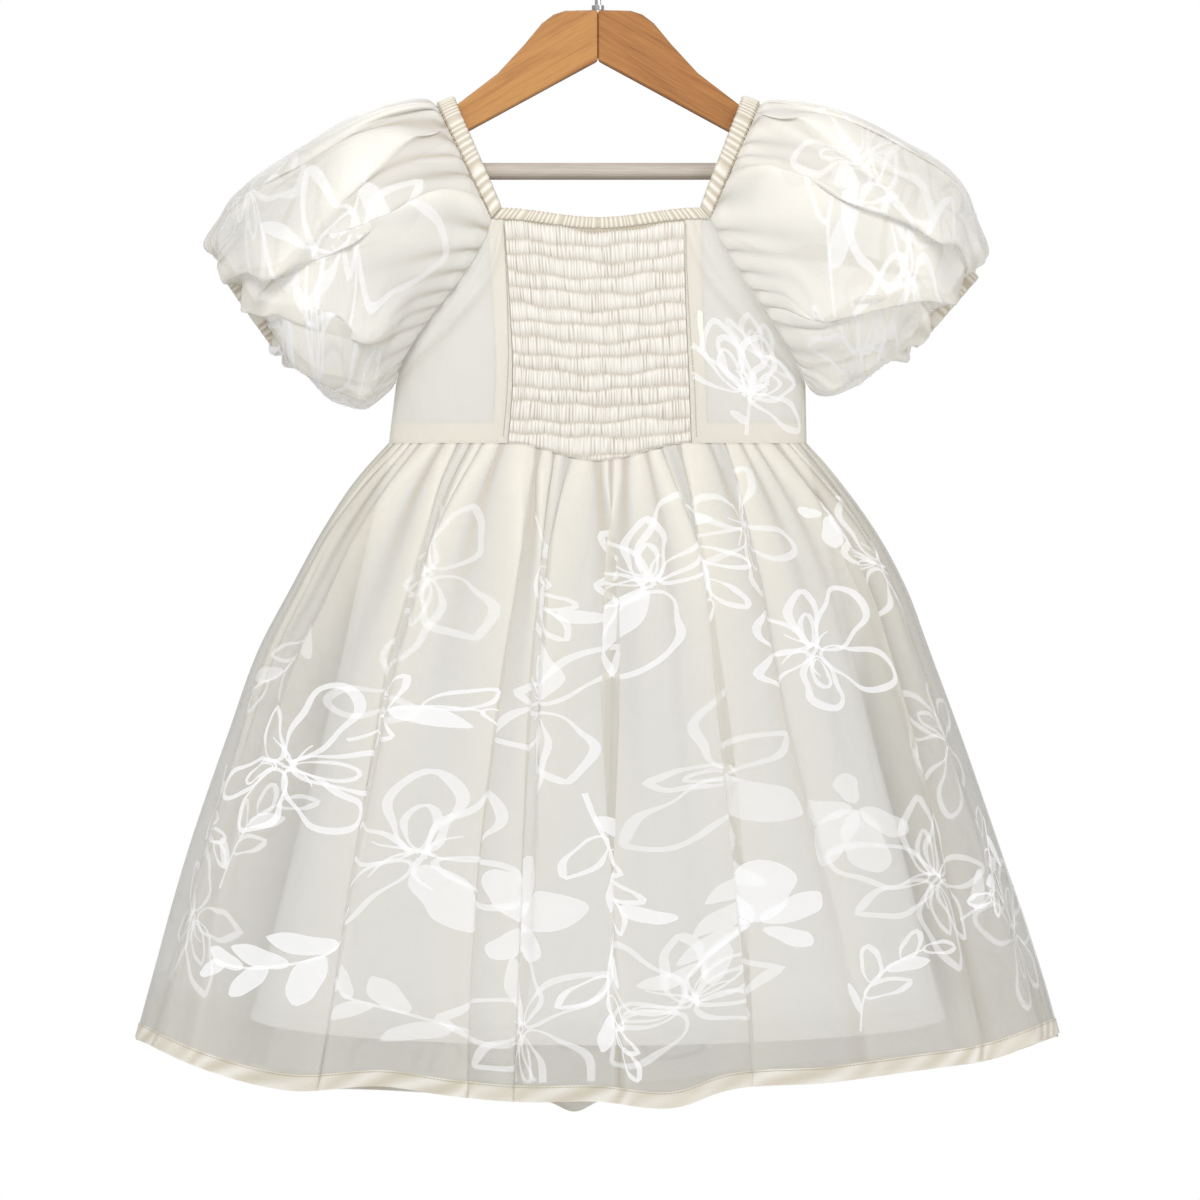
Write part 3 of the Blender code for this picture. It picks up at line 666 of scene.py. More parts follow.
GATHER_START = 0.035
print("skirt:", len(FRONT_FOLDS), "long folds in front,", len(BACK_FOLDS), "behind")

# %% [markdown]
# ## Gathers
#
# Gathers are made by pulling two rows of long stitches: the cloth bunches in ridges of about one
# width, but no two stand out or run down alike. A class keeps one seam's list of heights and
# reaches, drawn once from the seeded generator, so the shape, its shade and its cover all read
# the same ridges. Sleeves use the same class at both of their ends.

# %% Gathers of uneven depth and reach
class Gathers:
    """Ridges at whole numbers of a warped count, each with its own height and reach down."""

    def __init__(self, count, tallest, shortest, longest):
        self.count = count
        self.heights = tallest * rng.uniform(0.45, 1.0, count + 3)
        self.reach = shortest + (longest - shortest) * rng.uniform(0, 1, count + 3) ** 2.5
        self.warp = rng.uniform(0.12, 0.3, 3)

    def place(self, u):
        a, b, c = self.warp
        warp = a * np.sin(19 * u + 0.6) + b * np.sin(43 * u) + 0.6 * c * np.sin(71 * u + 2)
        return self.count * u + warp

    def wave(self, u, v, start):
        """Height above the valley, the sideways pull and how much of a ridge it is."""
        place = np.clip(self.place(u), 0, self.count)
        k = place.astype(int)
        t = place - k
        w = smooth(t)
        size = (1 - w) * self.heights[k] * np.exp(-v / self.reach[k])
        size = size + w * self.heights[k + 1] * np.exp(-v / self.reach[k + 1])
        size = size * (0.35 + 0.65 * smooth(v / start))
        ridge = (1 + np.cos(2 * pi * t)) / 2
        return size * ridge * 1.25, size * np.sin(2 * pi * t), ridge


FRONT_PLAN = Gathers(FRONT_GATHERS, 4.4, 0.06, 0.34)
BACK_PLAN = Gathers(BACK_GATHERS, 4.4, 0.06, 0.30)
print("tallest front gather", round(float(FRONT_PLAN.heights.max()), 1), "mm")

# %% [markdown]
# ## The skirt's surface, shade and cover
#
# At each level the skirt is half an ellipse, moved out and sideways by the gathers and the long
# folds. Its shade is painted shade and highlight: darkest in the slit beside a fold's overlap and
# between the gathers at the seam, lighter on the gather ridges, fold crests and fold edges. Its
# cover is higher where layers lie over each other, near the hem, and just outside the lining's
# edge; on the back cloth that last rise is a painted shadow of the lining.

# %% The skirt's functions
def skirt_level(v):
    return SKIRT[0].z + (SKIRT[-1].z - SKIRT[0].z) * np.clip(v, 0, 1)


def hem_level(x, back):
    z = read(HEM, "x", "back" if back else "front", x)
    if back:
        z = z - BACK_DIP * np.exp(-(((x - BACK_DIP_X) / BACK_DIP_WIDTH) ** 2))
    return z


def fold_hill(fold, u, v):
    sway = 0.35 * fold.width * np.sin(4.0 * v + 40 * fold.at)
    near = (u - fold.at - sway) / (fold.width * (1 + 0.25 * v))
    grown = smooth((v + 0.05) / 0.22) * (1 + (fold.hem - 1) * smooth(v))
    return near, np.exp(-near**2) * grown


def skirt_surface(back, folds, plan):
    way = 1 if back else -1

    def surface(u, v):
        u, v = together(u, v)
        w = np.clip(u, 0, 1)
        turn = pi * (w + 0.008 * np.sin(6 * pi * w + 0.5) * np.sin(pi * w))
        level = skirt_level(v)
        facing = np.cos(turn) * way
        left, right = read(SKIRT, "z", "left", level), read(SKIRT, "z", "right", level)
        width = np.where(facing < 0, left, right)
        depth = read(SKIRT, "z", "depth", level)
        swell, shift, _ = plan.wave(w, np.clip(v, 0, 1), GATHER_START)
        swell = swell + 1.5 * smooth(v / 0.35) * (1 + np.sin(2 * pi * 8.3 * w + 1.2 * np.sin(3 * v)))
        for fold in folds:
            _, hill = fold_hill(fold, w, v)
            swell = swell + fold.rise * hill
            shift = shift + fold.lap * hill * (0.85 + 0.65 * smooth(v / 0.5))
        normal = way * unit(np.stack([np.cos(turn) * depth, np.sin(turn) * width], -1))
        along = np.stack([-normal[..., 1], normal[..., 0]], -1)
        taper = np.clip(np.sin(turn), 0, 1)[..., None] ** 0.5
        moved = (normal * swell[..., None] + along * shift[..., None]) * taper
        x = facing * width + moved[..., 0]
        y = way * np.sin(turn) * depth + moved[..., 1]
        top = waist_z(facing * SKIRT[0].left)
        z = top + (hem_level(x * SKIRT[-1].left / width, back) - top) * v
        return np.stack([x, y, z], -1)
    return surface


def skirt_shade(plan, folds):
    """0 in a slit, 0.5 on plain sheer cloth and 1 on a ridge of several layers: painted shade in the slits
    and between the gathers, painted highlight on the gather ridges, fold crests and fold edges.
    """
    def shade(u, v):
        _, _, ridge = plan.wave(u, v, GATHER_START)
        near_waist = np.exp(-v / 0.17)
        tone = 0.5 + 0.5 * near_waist * (0.25 + 0.75 * ridge) - 1.1 * near_waist * (1 - ridge) ** 4.5
        for fold in folds:
            near, hill = fold_hill(fold, u, v)
            tone = tone + 0.34 * hill * np.exp(-v / 0.9)
            side = np.sign(fold.lap)
            slit = np.exp(-(((near - side * 1.15) / 0.40) ** 2))
            edge = np.exp(-(((near - side * 0.55) / 0.30) ** 2))
            tone = tone + (0.28 * edge - 0.46 * slit) * np.exp(-v / 0.8)
        return tone
    return shade


def beside_lining(u, v):
    """1 just outside the lining's side edge, where it shades the back cloth, and 0 further out.

    The light comes from the left, so the shade reaches further on the right (u below 0.5).
    """
    level = skirt_level(v)
    edge = read(SKIRT, "z", "lining", level) / read(SKIRT, "z", "left", level)
    past = np.abs(np.cos(pi * u)) - edge
    reach = np.where(u < 0.5, 0.30, 0.08)
    return smooth((past + 0.01) / 0.02) * np.exp(-np.maximum(past, 0) / reach)


def skirt_cover(plan, folds, shaded):
    """How much one layer hides: more where the gathers press several layers together."""
    def cover(u, v):
        _, _, ridge = plan.wave(u, v, GATHER_START)
        dense = np.exp(-v / 0.15)
        sides = smooth((np.abs(u - 0.5) - 0.30) / 0.16)
        below = smooth((v - 0.86) / 0.08)
        hiding = 0.50 + 0.30 * dense * (0.3 + 0.7 * ridge) + 0.03 * sides + 0.20 * below
        # Painted shadow: the back cloth hides more just outside the lining's edge, in place of the lining's
        # shadow on it.
        hiding = hiding + shaded * beside_lining(u, v)
        for fold in folds:
            hiding = hiding + 0.14 * fold_hill(fold, u, v)[1] * np.exp(-v / 1.2)
        return np.minimum(hiding, 0.95)
    return cover


FRONT_SKIRT = skirt_surface(False, FRONT_FOLDS, FRONT_PLAN)
BACK_SKIRT = skirt_surface(True, BACK_FOLDS, BACK_PLAN)
print("middle of the front hem at", np.round(FRONT_SKIRT(0.5, 1.0), 1), "mm")

# %% [markdown]
# ## Skirt panels and their turned hems
#
# The hem is turned up twice and sewn, so it looks like a denser cream band. Sewn along a curved
# edge, the turned strip is too long for its upper line and lies in slanting ripples. The band is
# its own narrow sheet in front of the panel's last 11 mm; the ripples are not modelled but painted
# on it as light and shade. On the back panel it lies on the inside, where the viewer looks at it.

# %% The skirt's sheets
HEM_START = 1 - HEM_DEPTH / SKIRT_CUT[1]


def painted_roping(u, v):
    """Painted light and shade of the slanting ripples of a turned hem."""
    across = (v - HEM_START) / (1 - HEM_START)
    ripple = np.sin(2 * pi * (34 * u + 0.6 * across) + 2.2 * np.sin(2 * pi * 5 * u + 1))
    return 0.5 + 0.34 * ripple * (0.25 + 0.75 * np.sin(2 * pi * 3.5 * u) ** 2)


def build_skirt(name, surface, plan, folds, node, columns, cloth, shaded=0.0, hem_height=0.5):
    panel = make_sheet(name, surface, 98, columns, SKIRT_CUT, cloth,
                       skirt_shade(plan, folds), skirt_cover(plan, folds, shaded))
    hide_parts(node)
    hem = make_sheet(name + "_hem", lifted(surface, hem_height), 6, columns,
                     SKIRT_CUT, HEM_CLOTH, painted_roping, span=(0, 1, HEM_START, 1.001))
    let_light_through(panel, hem)
    return panel, hem


skirt_front, hem_front = build_skirt(
    "skirt_front_panel", FRONT_SKIRT, FRONT_PLAN, FRONT_FOLDS, "skirt_front", 680, ORGANZA
)
skirt_back, hem_back = build_skirt(
    "skirt_back_panel", BACK_SKIRT, BACK_PLAN, BACK_FOLDS, "skirt_back", 500, BACK_ORGANZA_SHADED, 0.44, -0.5
)

# %% [markdown]
# ## The underskirt
#
# A plain A-line lining hangs inside the organza, narrower and shorter, so a band of sheer
# cloth is left down each side and along the hem. It has a few soft folds and a narrow hem of
# its own. It is opaque, because three layers of it and the organza let nothing through.

# %% The lining's sheets
LINING_HEM_SIDE, LINING_HEM_BOW = -759.0, 18.0
LINING_HEM_START = 0.975
LINING_CUT = (520, 400)
Drape = namedtuple("Drape", "waves size phase")
LINING_DRAPES = [Drape(4.0, 2.2, 0.4), Drape(7.0, 1.2, 2.0), Drape(11.0, 0.5, 1.0)]


def lining_surface(back):
    def surface(u, v):
        u, v = together(u, v)
        turn = pi * np.clip(u, 0, 1)
        level = skirt_level(v)
        width = read(SKIRT, "z", "lining", level)
        depth = read(SKIRT, "z", "lining_depth", level)
        wave = sum(drape.size * (np.sin(2 * pi * drape.waves * u + drape.phase + back) - 1)
                   for drape in LINING_DRAPES)
        swell = wave * smooth(v / 0.5) * np.sin(turn)
        x = np.cos(turn) * (1 if back else -1) * (width + 0.3 * swell)
        y = np.sin(turn) * (depth + swell)
        top = waist_z(x) - 1.0
        bottom = LINING_HEM_SIDE - LINING_HEM_BOW * np.sin(turn)
        return np.stack([x, y if back else -y, top + (bottom - top) * v], -1)
    return surface


def build_lining(name, back, node):
    surface = lining_surface(back)
    panel = make_sheet(name, surface, 70, 160, LINING_CUT, LINING)
    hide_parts(node)
    hem = make_sheet(name + "_hem", lifted(surface, 0.4), 5, 160, LINING_CUT, LINING,
                     span=(0, 1, LINING_HEM_START, 1))
    sheet_area(panel)


build_lining("lining_front_panel", False, "skirt_lining_front")
build_lining("lining_back_panel", True, "skirt_lining_back")

# %% [markdown]
# ## Puff sleeves
#
# A puff sleeve is a wide tube gathered at the armhole and again into the elastic at the cuff,
# so it swells between them. Its rings are read from a table: where each ring's top and
# underside lie, how far it leans to the neck and how deep it is. The gathers are finest at
# both ends and run into a few soft folds in the middle, with broad dents where the cloth sinks.

# %% Sleeve sections
Puff = namedtuple("Puff", "at top_x top_z under_x under_z lean depth gather fold")
LEFT_PUFF = [
    Puff(0.0, 110.3, -139.6, 138.3, -328.8, 48.3, 22.0, 0.0, 0.0),
    Puff(0.06, 116.0, -135.6, 141.5, -333.0, 45.5, 31.0, 1.6, 0.6),
    Puff(0.15, 133.0, -136.0, 147.0, -338.5, 38.0, 44.0, 1.8, 2.2),
    Puff(0.3, 167.0, -146.5, 158.5, -346.5, 26.0, 59.0, 1.0, 4.2),
    Puff(0.5, 204.0, -169.0, 174.5, -343.0, 13.0, 67.0, 0.5, 5.2),
    Puff(0.7, 240.0, -193.5, 189.5, -333.5, 4.0, 62.0, 1.0, 4.8),
    Puff(0.86, 255.0, -212.5, 200.5, -320.0, 0.0, 50.0, 1.9, 3.6),
    Puff(0.95, 259.0, -234.0, 208.0, -308.0, 0.0, 37.0, 1.8, 1.6),
    Puff(1.0, 250.5, -247.0, 213.5, -299.5, 0.0, 25.0, 0.6, 0.0),
]
RIGHT_PUFF = [
    Puff(0.0, 110.8, -139.0, 142.2, -328.8, 46.2, 22.0, 0.0, 0.0),
    Puff(0.06, 117.0, -135.5, 144.5, -332.5, 43.5, 31.0, 1.6, 0.6),
    Puff(0.15, 133.0, -136.0, 149.0, -336.0, 37.0, 44.0, 1.8, 2.2),
    Puff(0.3, 164.0, -143.5, 160.0, -336.5, 27.0, 60.0, 1.0, 4.2),
    Puff(0.5, 206.0, -161.5, 175.0, -331.5, 15.0, 69.0, 0.5, 5.2),
    Puff(0.7, 243.0, -187.0, 188.0, -321.5, 5.0, 64.0, 1.0, 4.8),
    Puff(0.86, 256.0, -212.0, 198.5, -312.0, 0.0, 51.0, 1.9, 3.6),
    Puff(0.95, 259.5, -237.0, 204.5, -305.0, 0.0, 37.0, 1.8, 1.6),
    Puff(1.0, 252.5, -250.0, 209.5, -299.0, 0.0, 25.0, 0.6, 0.0),
]
Ease = namedtuple("Ease", "at width rise lap drift start end")
SLEEVE_FOLDS = [
    Ease(0.035, 0.020, 5.0, 12.0, 0.03, 0.00, 0.75),
    Ease(0.085, 0.017, 5.5, -12.0, -0.02, 0.05, 0.95),
    Ease(0.130, 0.016, 6.0, 15.0, 0.12, 0.00, 0.80),
    Ease(0.175, 0.019, 6.0, 14.0, -0.05, 0.25, 1.00),
    Ease(0.225, 0.018, 6.5, -13.0, 0.04, 0.00, 0.80),
    Ease(0.285, 0.020, 6.5, 16.0, -0.13, 0.20, 1.00),
    Ease(0.340, 0.018, 6.0, -13.0, -0.03, 0.35, 1.00),
    Ease(0.400, 0.022, 6.0, 15.0, -0.11, 0.15, 0.95),
    Ease(0.455, 0.018, 5.0, -11.0, -0.02, 0.30, 1.00),
    Ease(0.560, 0.022, 5.5, 13.0, 0.04, 0.10, 0.95),
    Ease(0.640, 0.020, 6.0, -13.0, 0.05, 0.00, 0.85),
    Ease(0.720, 0.022, 6.0, 14.0, -0.04, 0.20, 1.00),
    Ease(0.800, 0.020, 6.0, -13.0, 0.03, 0.05, 0.90),
    Ease(0.870, 0.018, 5.5, 12.0, -0.04, 0.00, 0.80),
    Ease(0.940, 0.020, 5.0, -12.0, 0.02, 0.10, 0.95),
]
Wrinkle = namedtuple("Wrinkle", "turns slope patches rise")
WRINKLES = [
    Wrinkle(7, 1.4, 2, 1.5),
    Wrinkle(9, -2.3, 3, 1.3),
    Wrinkle(16, 3.1, 3, 0.7),
    Wrinkle(21, -1.2, 4, 0.45),
]
# Each sleeve has a seed of its own, so that its folds don't mirror the other's.
LEFT_SEED, RIGHT_SEED = 0.7, 2.9
SLEEVE_GATHERS = 38
ARMHOLE_PLANS = {seed: Gathers(SLEEVE_GATHERS, 4.6, 0.05, 0.42) for seed in (LEFT_SEED, RIGHT_SEED)}
CUFF_PLANS = {seed: Gathers(SLEEVE_GATHERS, 3.0, 0.04, 0.30) for seed in (LEFT_SEED, RIGHT_SEED)}
SLEEVE_CUT = (520.0, 210.0)
LOBE_REACH, LOBE_AT, LOBE_WIDTH = 9.0, 0.93, 0.05


def armhole_point(side, turn):
    """A point of the armhole's seam, turn 0 at the shoulder and pi at the underarm."""
    s = (1 - np.cos(turn)) / 2
    z = side.top_z + (side.under_z - side.top_z) * s
    x = side.top_x + (side.under_x - side.top_x) * s - side.lean * armhole_fall(side, s)
    corner_z = side.top_z + (side.under_z - side.top_z) * NECK_CORNER
    corner_x = side.top_x + (side.under_x - side.top_x) * NECK_CORNER - side.lean
    reach = body_depth(np.asarray(side.sign * corner_x), np.asarray(corner_z))
    over_arm = reach * np.sqrt(s * (1 - s) / (NECK_CORNER * (1 - NECK_CORNER)))
    depth = np.where(s < NECK_CORNER, over_arm, body_depth(side.sign * x, z))
    y = np.where(np.sin(turn) > 0, -depth, depth)
    return np.stack([side.sign * x, y, z], -1)


def ease_hill(fold, u, v, seed):
    shift = 0.02 * np.sin(seed + 9 * fold.at)
    near = (u - fold.at - shift - fold.drift * (v - 0.5) + 0.5) % 1 - 0.5
    near = near / (fold.width * (0.6 + 0.8 * np.sin(pi * np.clip(v, 0, 1))))
    window = smooth((v - fold.start + 0.06) / 0.25) * smooth((fold.end + 0.06 - v) / 0.25)
    return near, np.exp(-near**2) * window


def sleeve_gather(u, v, seed):
    """Gathers deep at both ends of the sleeve: height, sideways pull and ridge."""
    turn = np.mod(u, 1)
    upper, pull, ridge = ARMHOLE_PLANS[seed].wave(turn, np.clip(v, 0, 1), 0.04)
    lower, cuff_pull, cuff_ridge = CUFF_PLANS[seed].wave(turn, np.clip(1 - v, 0, 1), 0.03)
    seam = smooth(np.minimum(turn, 1 - turn) / 0.012)
    low = smooth((v - 0.35) / 0.4)
    return (upper + lower) * seam, (pull + cuff_pull) * seam, ridge * (1 - low) + cuff_ridge * low


def sleeve_surface(side, table, seed):
    end = table[-1]
    drop = unit(np.array([end.under_x - end.top_x, end.under_z - end.top_z]))
    outward = np.array([-drop[1], drop[0]]) * np.sign(-drop[1])

    def surface(u, v):
        u, v = together(u, v)
        at = np.clip(v, 0, 1)
        turn = 2 * pi * u
        s = (1 - np.cos(turn)) / 2
        part = {name: read(table, "at", name, at) for name in Puff._fields[1:]}
        start = armhole_point(side, turn)
        x = part["top_x"] + (part["under_x"] - part["top_x"]) * s
        x = x - part["lean"] * armhole_fall(side, s)
        z = part["top_z"] + (part["under_z"] - part["top_z"]) * s
        seam_y = start[..., 1] * part["depth"] / table[0].depth
        y = seam_y + (-part["depth"] * np.sin(turn) - seam_y) * smooth(at / 0.2)
        swell, shift, _ = sleeve_gather(u, at, seed)
        for fold in SLEEVE_FOLDS:
            _, hill = ease_hill(fold, u, at, seed)
            swell = swell + fold.rise * hill - 1.2 * hill
            shift = shift + 1.5 * fold.lap * hill
        dents = np.sin(4 * pi * u + 7 * at + seed) * np.sin(8 * pi * u - 5 * at + 2 * seed)
        swell = swell + 4.5 * np.sin(pi * at) * (dents - 0.55)
        for k, wrinkle in enumerate(WRINKLES):
            crest = np.sin(2 * pi * (wrinkle.turns * u + wrinkle.slope * at) + seed * (k + 1))
            here = np.sin(2 * pi * (wrinkle.patches * u - 1.3 * at) + 2.1 * k + seed)
            swell = swell + wrinkle.rise * np.sin(pi * at) * smooth(0.5 + 0.5 * here) * (crest - 0.6)
        lobes = 0.6 + 0.4 * np.sin(16 * pi * u + seed) + 0.25 * np.sin(26 * pi * u + 2 * seed)
        lobe = np.exp(-(((at - LOBE_AT) / LOBE_WIDTH) ** 2)) * lobes
        swell = swell + 1.5 * lobe
        tall = (part["top_z"] - part["under_z"]) / 2
        out = unit(np.stack([-np.sin(turn) * tall, np.cos(turn) * part["depth"]], -1))
        along = np.stack([-out[..., 1], out[..., 0]], -1)
        rim = 0.3 + 0.7 * np.abs(np.sin(turn))
        x = x + outward[0] * LOBE_REACH * lobe
        y = y + out[..., 0] * swell + along[..., 0] * shift * rim
        z = z + outward[1] * LOBE_REACH * lobe + (out[..., 1] * swell + along[..., 1] * shift) * rim
        point = np.stack([side.sign * x, y, z], -1)
        first = smooth(at / 0.015)[..., None]
        return point * first + start * (1 - first)
    return surface


def sleeve_shade(seed, plain):
    """Plain is the shade between the folds; in the photo the right sleeve is the paler one."""
    # Painted shade in the slits and between the gathers at both ends, painted highlight on the ridges and
    # fold crests.
    def shade(u, v):
        _, _, ridge = sleeve_gather(u, v, seed)
        ends = np.clip(np.exp(-v / 0.16) + np.exp(-(1 - v) / 0.12), 0, 1)
        tone = plain + 0.45 * ends * ridge - 0.5 * ends * (1 - ridge) ** 2
        for fold in SLEEVE_FOLDS:
            near, hill = ease_hill(fold, u, v, seed)
            slit = np.exp(-(((near - np.sign(fold.lap) * 1.15) / 0.5) ** 2)) * (hill > 0.01)
            tone = tone + 0.38 * hill - 0.22 * slit
        return tone
    return shade


def sleeve_cover(seed):
    def cover(u, v):
        upper = 0.38 * smooth((0.56 - v) / 0.30) * (0.55 + 0.45 * np.cos(2 * pi * (u - 0.12)))
        _, _, ridge = sleeve_gather(u, v, seed)
        lower = 0.30 * np.exp(-(1 - v) / 0.12) * ridge
        hiding = 0.50 + upper + lower
        for fold in SLEEVE_FOLDS:
            hiding = hiding + 0.10 * ease_hill(fold, u, v, seed)[1]
        return np.minimum(hiding, 0.96)
    return cover


def build_sleeve(side, table, seed, plain):
    surface = sleeve_surface(side, table, seed)
    sleeve = make_sheet("puff_sleeve_" + side.name, surface, 106, 380, SLEEVE_CUT,
                        SLEEVE_CLOTH, sleeve_shade(seed, plain), sleeve_cover(seed), wrap=True)
    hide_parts("sleeve_" + side.name)
    return surface, sleeve


# The right sleeve's higher plain value is painted light.
LEFT_SLEEVE, sleeve_left = build_sleeve(LEFT, LEFT_PUFF, LEFT_SEED, 0.45)
RIGHT_SLEEVE, sleeve_right = build_sleeve(RIGHT, RIGHT_PUFF, RIGHT_SEED, 0.68)

# %% [markdown]
# ## Elastic casings
#
# A casing is a narrow channel of cloth with elastic inside, so it is a flat tube crossed by
# small even gathers. One builder makes them all: it takes the two edges of the band as
# functions of the way along it, and wraps a flattened ring round them, with ribs on the ring
# that fade at the edges. A cylinder with a bump map would keep a smooth outline.

# %% A ribbed band between two edges
RING_POINTS = 14
STEPS_PER_RIB = 8
RIB_RISE = 0.9


def make_band(name, low, high, ribs, thick, outward, closed=False):
    """Ribs of uneven spacing on a flattened tube from the edge low to the edge high."""
    count = ribs * STEPS_PER_RIB + (0 if closed else 1)
    t = np.arange(count) / (ribs * STEPS_PER_RIB)
    jitter = 0.32 * np.sin(2 * pi * 5 * t) + 0.22 * np.sin(2 * pi * 11 * t + 1)
    jitter = jitter + 0.1 * np.sin(2 * pi * 17 * t + 2)
    wave = (1 + np.cos(2 * pi * (ribs * t + jitter))) / 2
    a, b = low(t), high(t)
    along = unit(b - a)
    ring = 2 * pi * np.arange(RING_POINTS) / RING_POINTS
    out = outward(t)
    rows = []
    painted_rib_shades = []
    for angle in ring:
        w = (1 - np.cos(angle)) / 2
        lift = np.sin(angle)
        face = np.abs(lift) ** 0.6
        height = np.where(lift > 0, face * (thick + RIB_RISE * wave), -face * thick * 0.25)
        edge = 0.35 * (wave - 0.5) * np.cos(angle)
        rows.append(a + (b - a) * w + out * height[..., None] - along * edge[..., None])
        # Painted shade in the rib valleys and on the band's hidden underside, painted highlight on the rib
        # crests of its outer face.
        painted_rib_shades.append(0.25 + 0.75 * wave * (0.5 + 0.5 * face) if lift > 0 else 0.6 + 0 * wave)
    points = np.stack(rows, 1)
    faces = []
    for c in range(count if closed else count - 1):
        here, ahead = c * RING_POINTS, (c + 1) % count * RING_POINTS
        for k in range(RING_POINTS):
            m = (k + 1) % RING_POINTS
            faces.append([here + k, here + m, ahead + m, ahead + k])
    if not closed:
        faces.append(list(range(RING_POINTS)))
        faces.append([(count - 1) * RING_POINTS + k for k in reversed(range(RING_POINTS))])
    uv = np.stack(np.broadcast_arrays(t[:, None] * 0.2, ring[None, :] * 0.004), -1).reshape(-1, 2)
    band = make_object(name, points.reshape(-1, 3), faces, np.stack(painted_rib_shades, 1).ravel(), uv)
    band.data.materials.append(CASING)
    print(name, "area", round(sheet_area(band), 5), "m2")
    return band


# %% [markdown]
# ## The shoulder casings
#
# Each shoulder casing runs over the armhole seam from the front neck corner to the back one. It
# is a little wider at the shoulder's top. Its lower edge is the seam itself, read from the
# armhole's own function, so the casing can't drift off it.

# %% The shoulder casings
CORNER_TURN = float(np.arccos(1 - 2 * NECK_CORNER))
CASING_INSET = 0.2
CASING_ACROSS = 6.8
CASING_UP = 8.2


def casing_edges(side):
    def turn_at(t):
        return CORNER_TURN * (1 - 2 * t)

    def low(t):
        turn = turn_at(t)
        point = armhole_point(side, np.abs(turn))
        point[..., 1] = np.where(turn < 0, -point[..., 1], point[..., 1])
        point[..., 0] -= side.sign * CASING_INSET
        return point

    def high(t):
        near_top = (1 - np.abs(turn_at(t)) / CORNER_TURN) ** 0.6
        point = low(t)
        point[..., 0] -= side.sign * (CASING_ACROSS + 5.4 * near_top)
        point[..., 2] += CASING_UP - 3.4 * near_top
        return point

    def outward(t):
        point = low(t)
        along = np.gradient(point, axis=0)
        across = high(t) - point
        return unit(np.cross(across, along) * -side.sign)

    return low, high, outward


for side in (LEFT, RIGHT):
    low, high, outward = casing_edges(side)
    casing = make_band("shoulder_casing_" + side.name, low, high, 44, 1.6, outward)
    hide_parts("neck_casing_" + side.name)


# %% [markdown]
# ## The front and back neck casings
#
# The same band closes the square neck in front and behind. It sags a little in the middle, where
# nothing holds it up, and its ends slant to meet the shoulder casings.

# %% The front and back neck casings
def neck_edges(back):
    left = float(armhole_point(LEFT, np.asarray(CORNER_TURN))[0])
    right = float(armhole_point(RIGHT, np.asarray(CORNER_TURN))[0])

    def place(t, w):
        slant = CASING_INSET + CASING_ACROSS * (1 - w) + 0.9
        x = (left + slant) + (right - left - 2 * slant) * (1 - t if back else t)
        z = neck_z(x) - (BAND_HEIGHT - 0.15) * w
        y = body_depth(x, z) - 0.6
        return np.stack([x, y if back else -y, z], -1)

    def outward(t):
        point = place(t, 0.5)
        flat = np.gradient(point, axis=0)
        return unit(np.cross(np.array([0.0, 0.0, -1.0]), flat))

    def low(t):
        return place(t, 1.0)

    def high(t):
        return place(t, 0.0)

    return low, high, outward


for back in (False, True):
    low, high, outward = neck_edges(back)
    name = "back" if back else "front"
    casing = make_band("neck_band_" + name, low, high, 44, 1.5, outward)
    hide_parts("neck_casing_" + name)


# %% [markdown]
# ## The cuffs
#
# A cuff is the same ribbed band closed into a ring. It starts just past the sleeve's last ring
# and follows that ring's slant.

# %% The cuffs
CUFF_WIDTH, CUFF_GAP = 8.5, 0.9


def cuff_edges(side, table):
    end = table[-1]
    top, under = np.array([end.top_x, end.top_z]), np.array([end.under_x, end.under_z])
    along = unit(under - top)
    away = np.array([-along[1], along[0]])
    away = away * np.sign(away[0])

    def place(t, w):
        turn = 2 * pi * t
        s = (1 - np.cos(turn)) / 2
        spot = top + (under - top) * (0.03 + 0.94 * s)[..., None]
        spot = spot + away * (CUFF_GAP + CUFF_WIDTH * w)
        depth = (end.depth - CUFF_GAP) * (1 + 0.05 * w)
        return np.stack([side.sign * spot[..., 0], -depth * np.sin(turn), spot[..., 1]], -1)

    def outward(t):
        turn = 2 * pi * t
        tall = np.linalg.norm(under - top) / 2
        radial = -np.cos(turn)[..., None] * along * end.depth
        return unit(np.stack([side.sign * radial[..., 0], -np.sin(turn) * tall, radial[..., 1]], -1))

    def low(t):
        return place(t, 0.0)

    def high(t):
        return place(t, 1.0)

    return low, high, outward


for side, table in ((LEFT, LEFT_PUFF), (RIGHT, RIGHT_PUFF)):
    low, high, outward = cuff_edges(side, table)
    cuff = make_band("cuff_casing_" + side.name, low, high, 30, 1.2, outward, closed=True)
    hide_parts("sleeve_cuff_" + side.name)

# %% [markdown]
# ## White flower outlines
#
# The organza carries matt white flowers drawn as outlines, with a few petals and leaves filled
# in. They are drawn here as flat shapes in millimetres on the cut cloth and then laid on the
# sheet's own function, so they bend and squeeze with every fold. The flowers are plain ones
# with four to seven petals, in a layout of their own. An image texture would be simpler, but a
# mesh stays sharp and needs no file.

# %% Drawing on the flat cut
LIFT_STEP, LIFT_STEPS = 0.06, 8
PETAL_POINTS = 0.9
FILL_RINGS = 7
SPRAY_POINTS = 28
OUTLINE, INNER_LINE, LEAF_LINE = 3.9, 2.4, 2.8


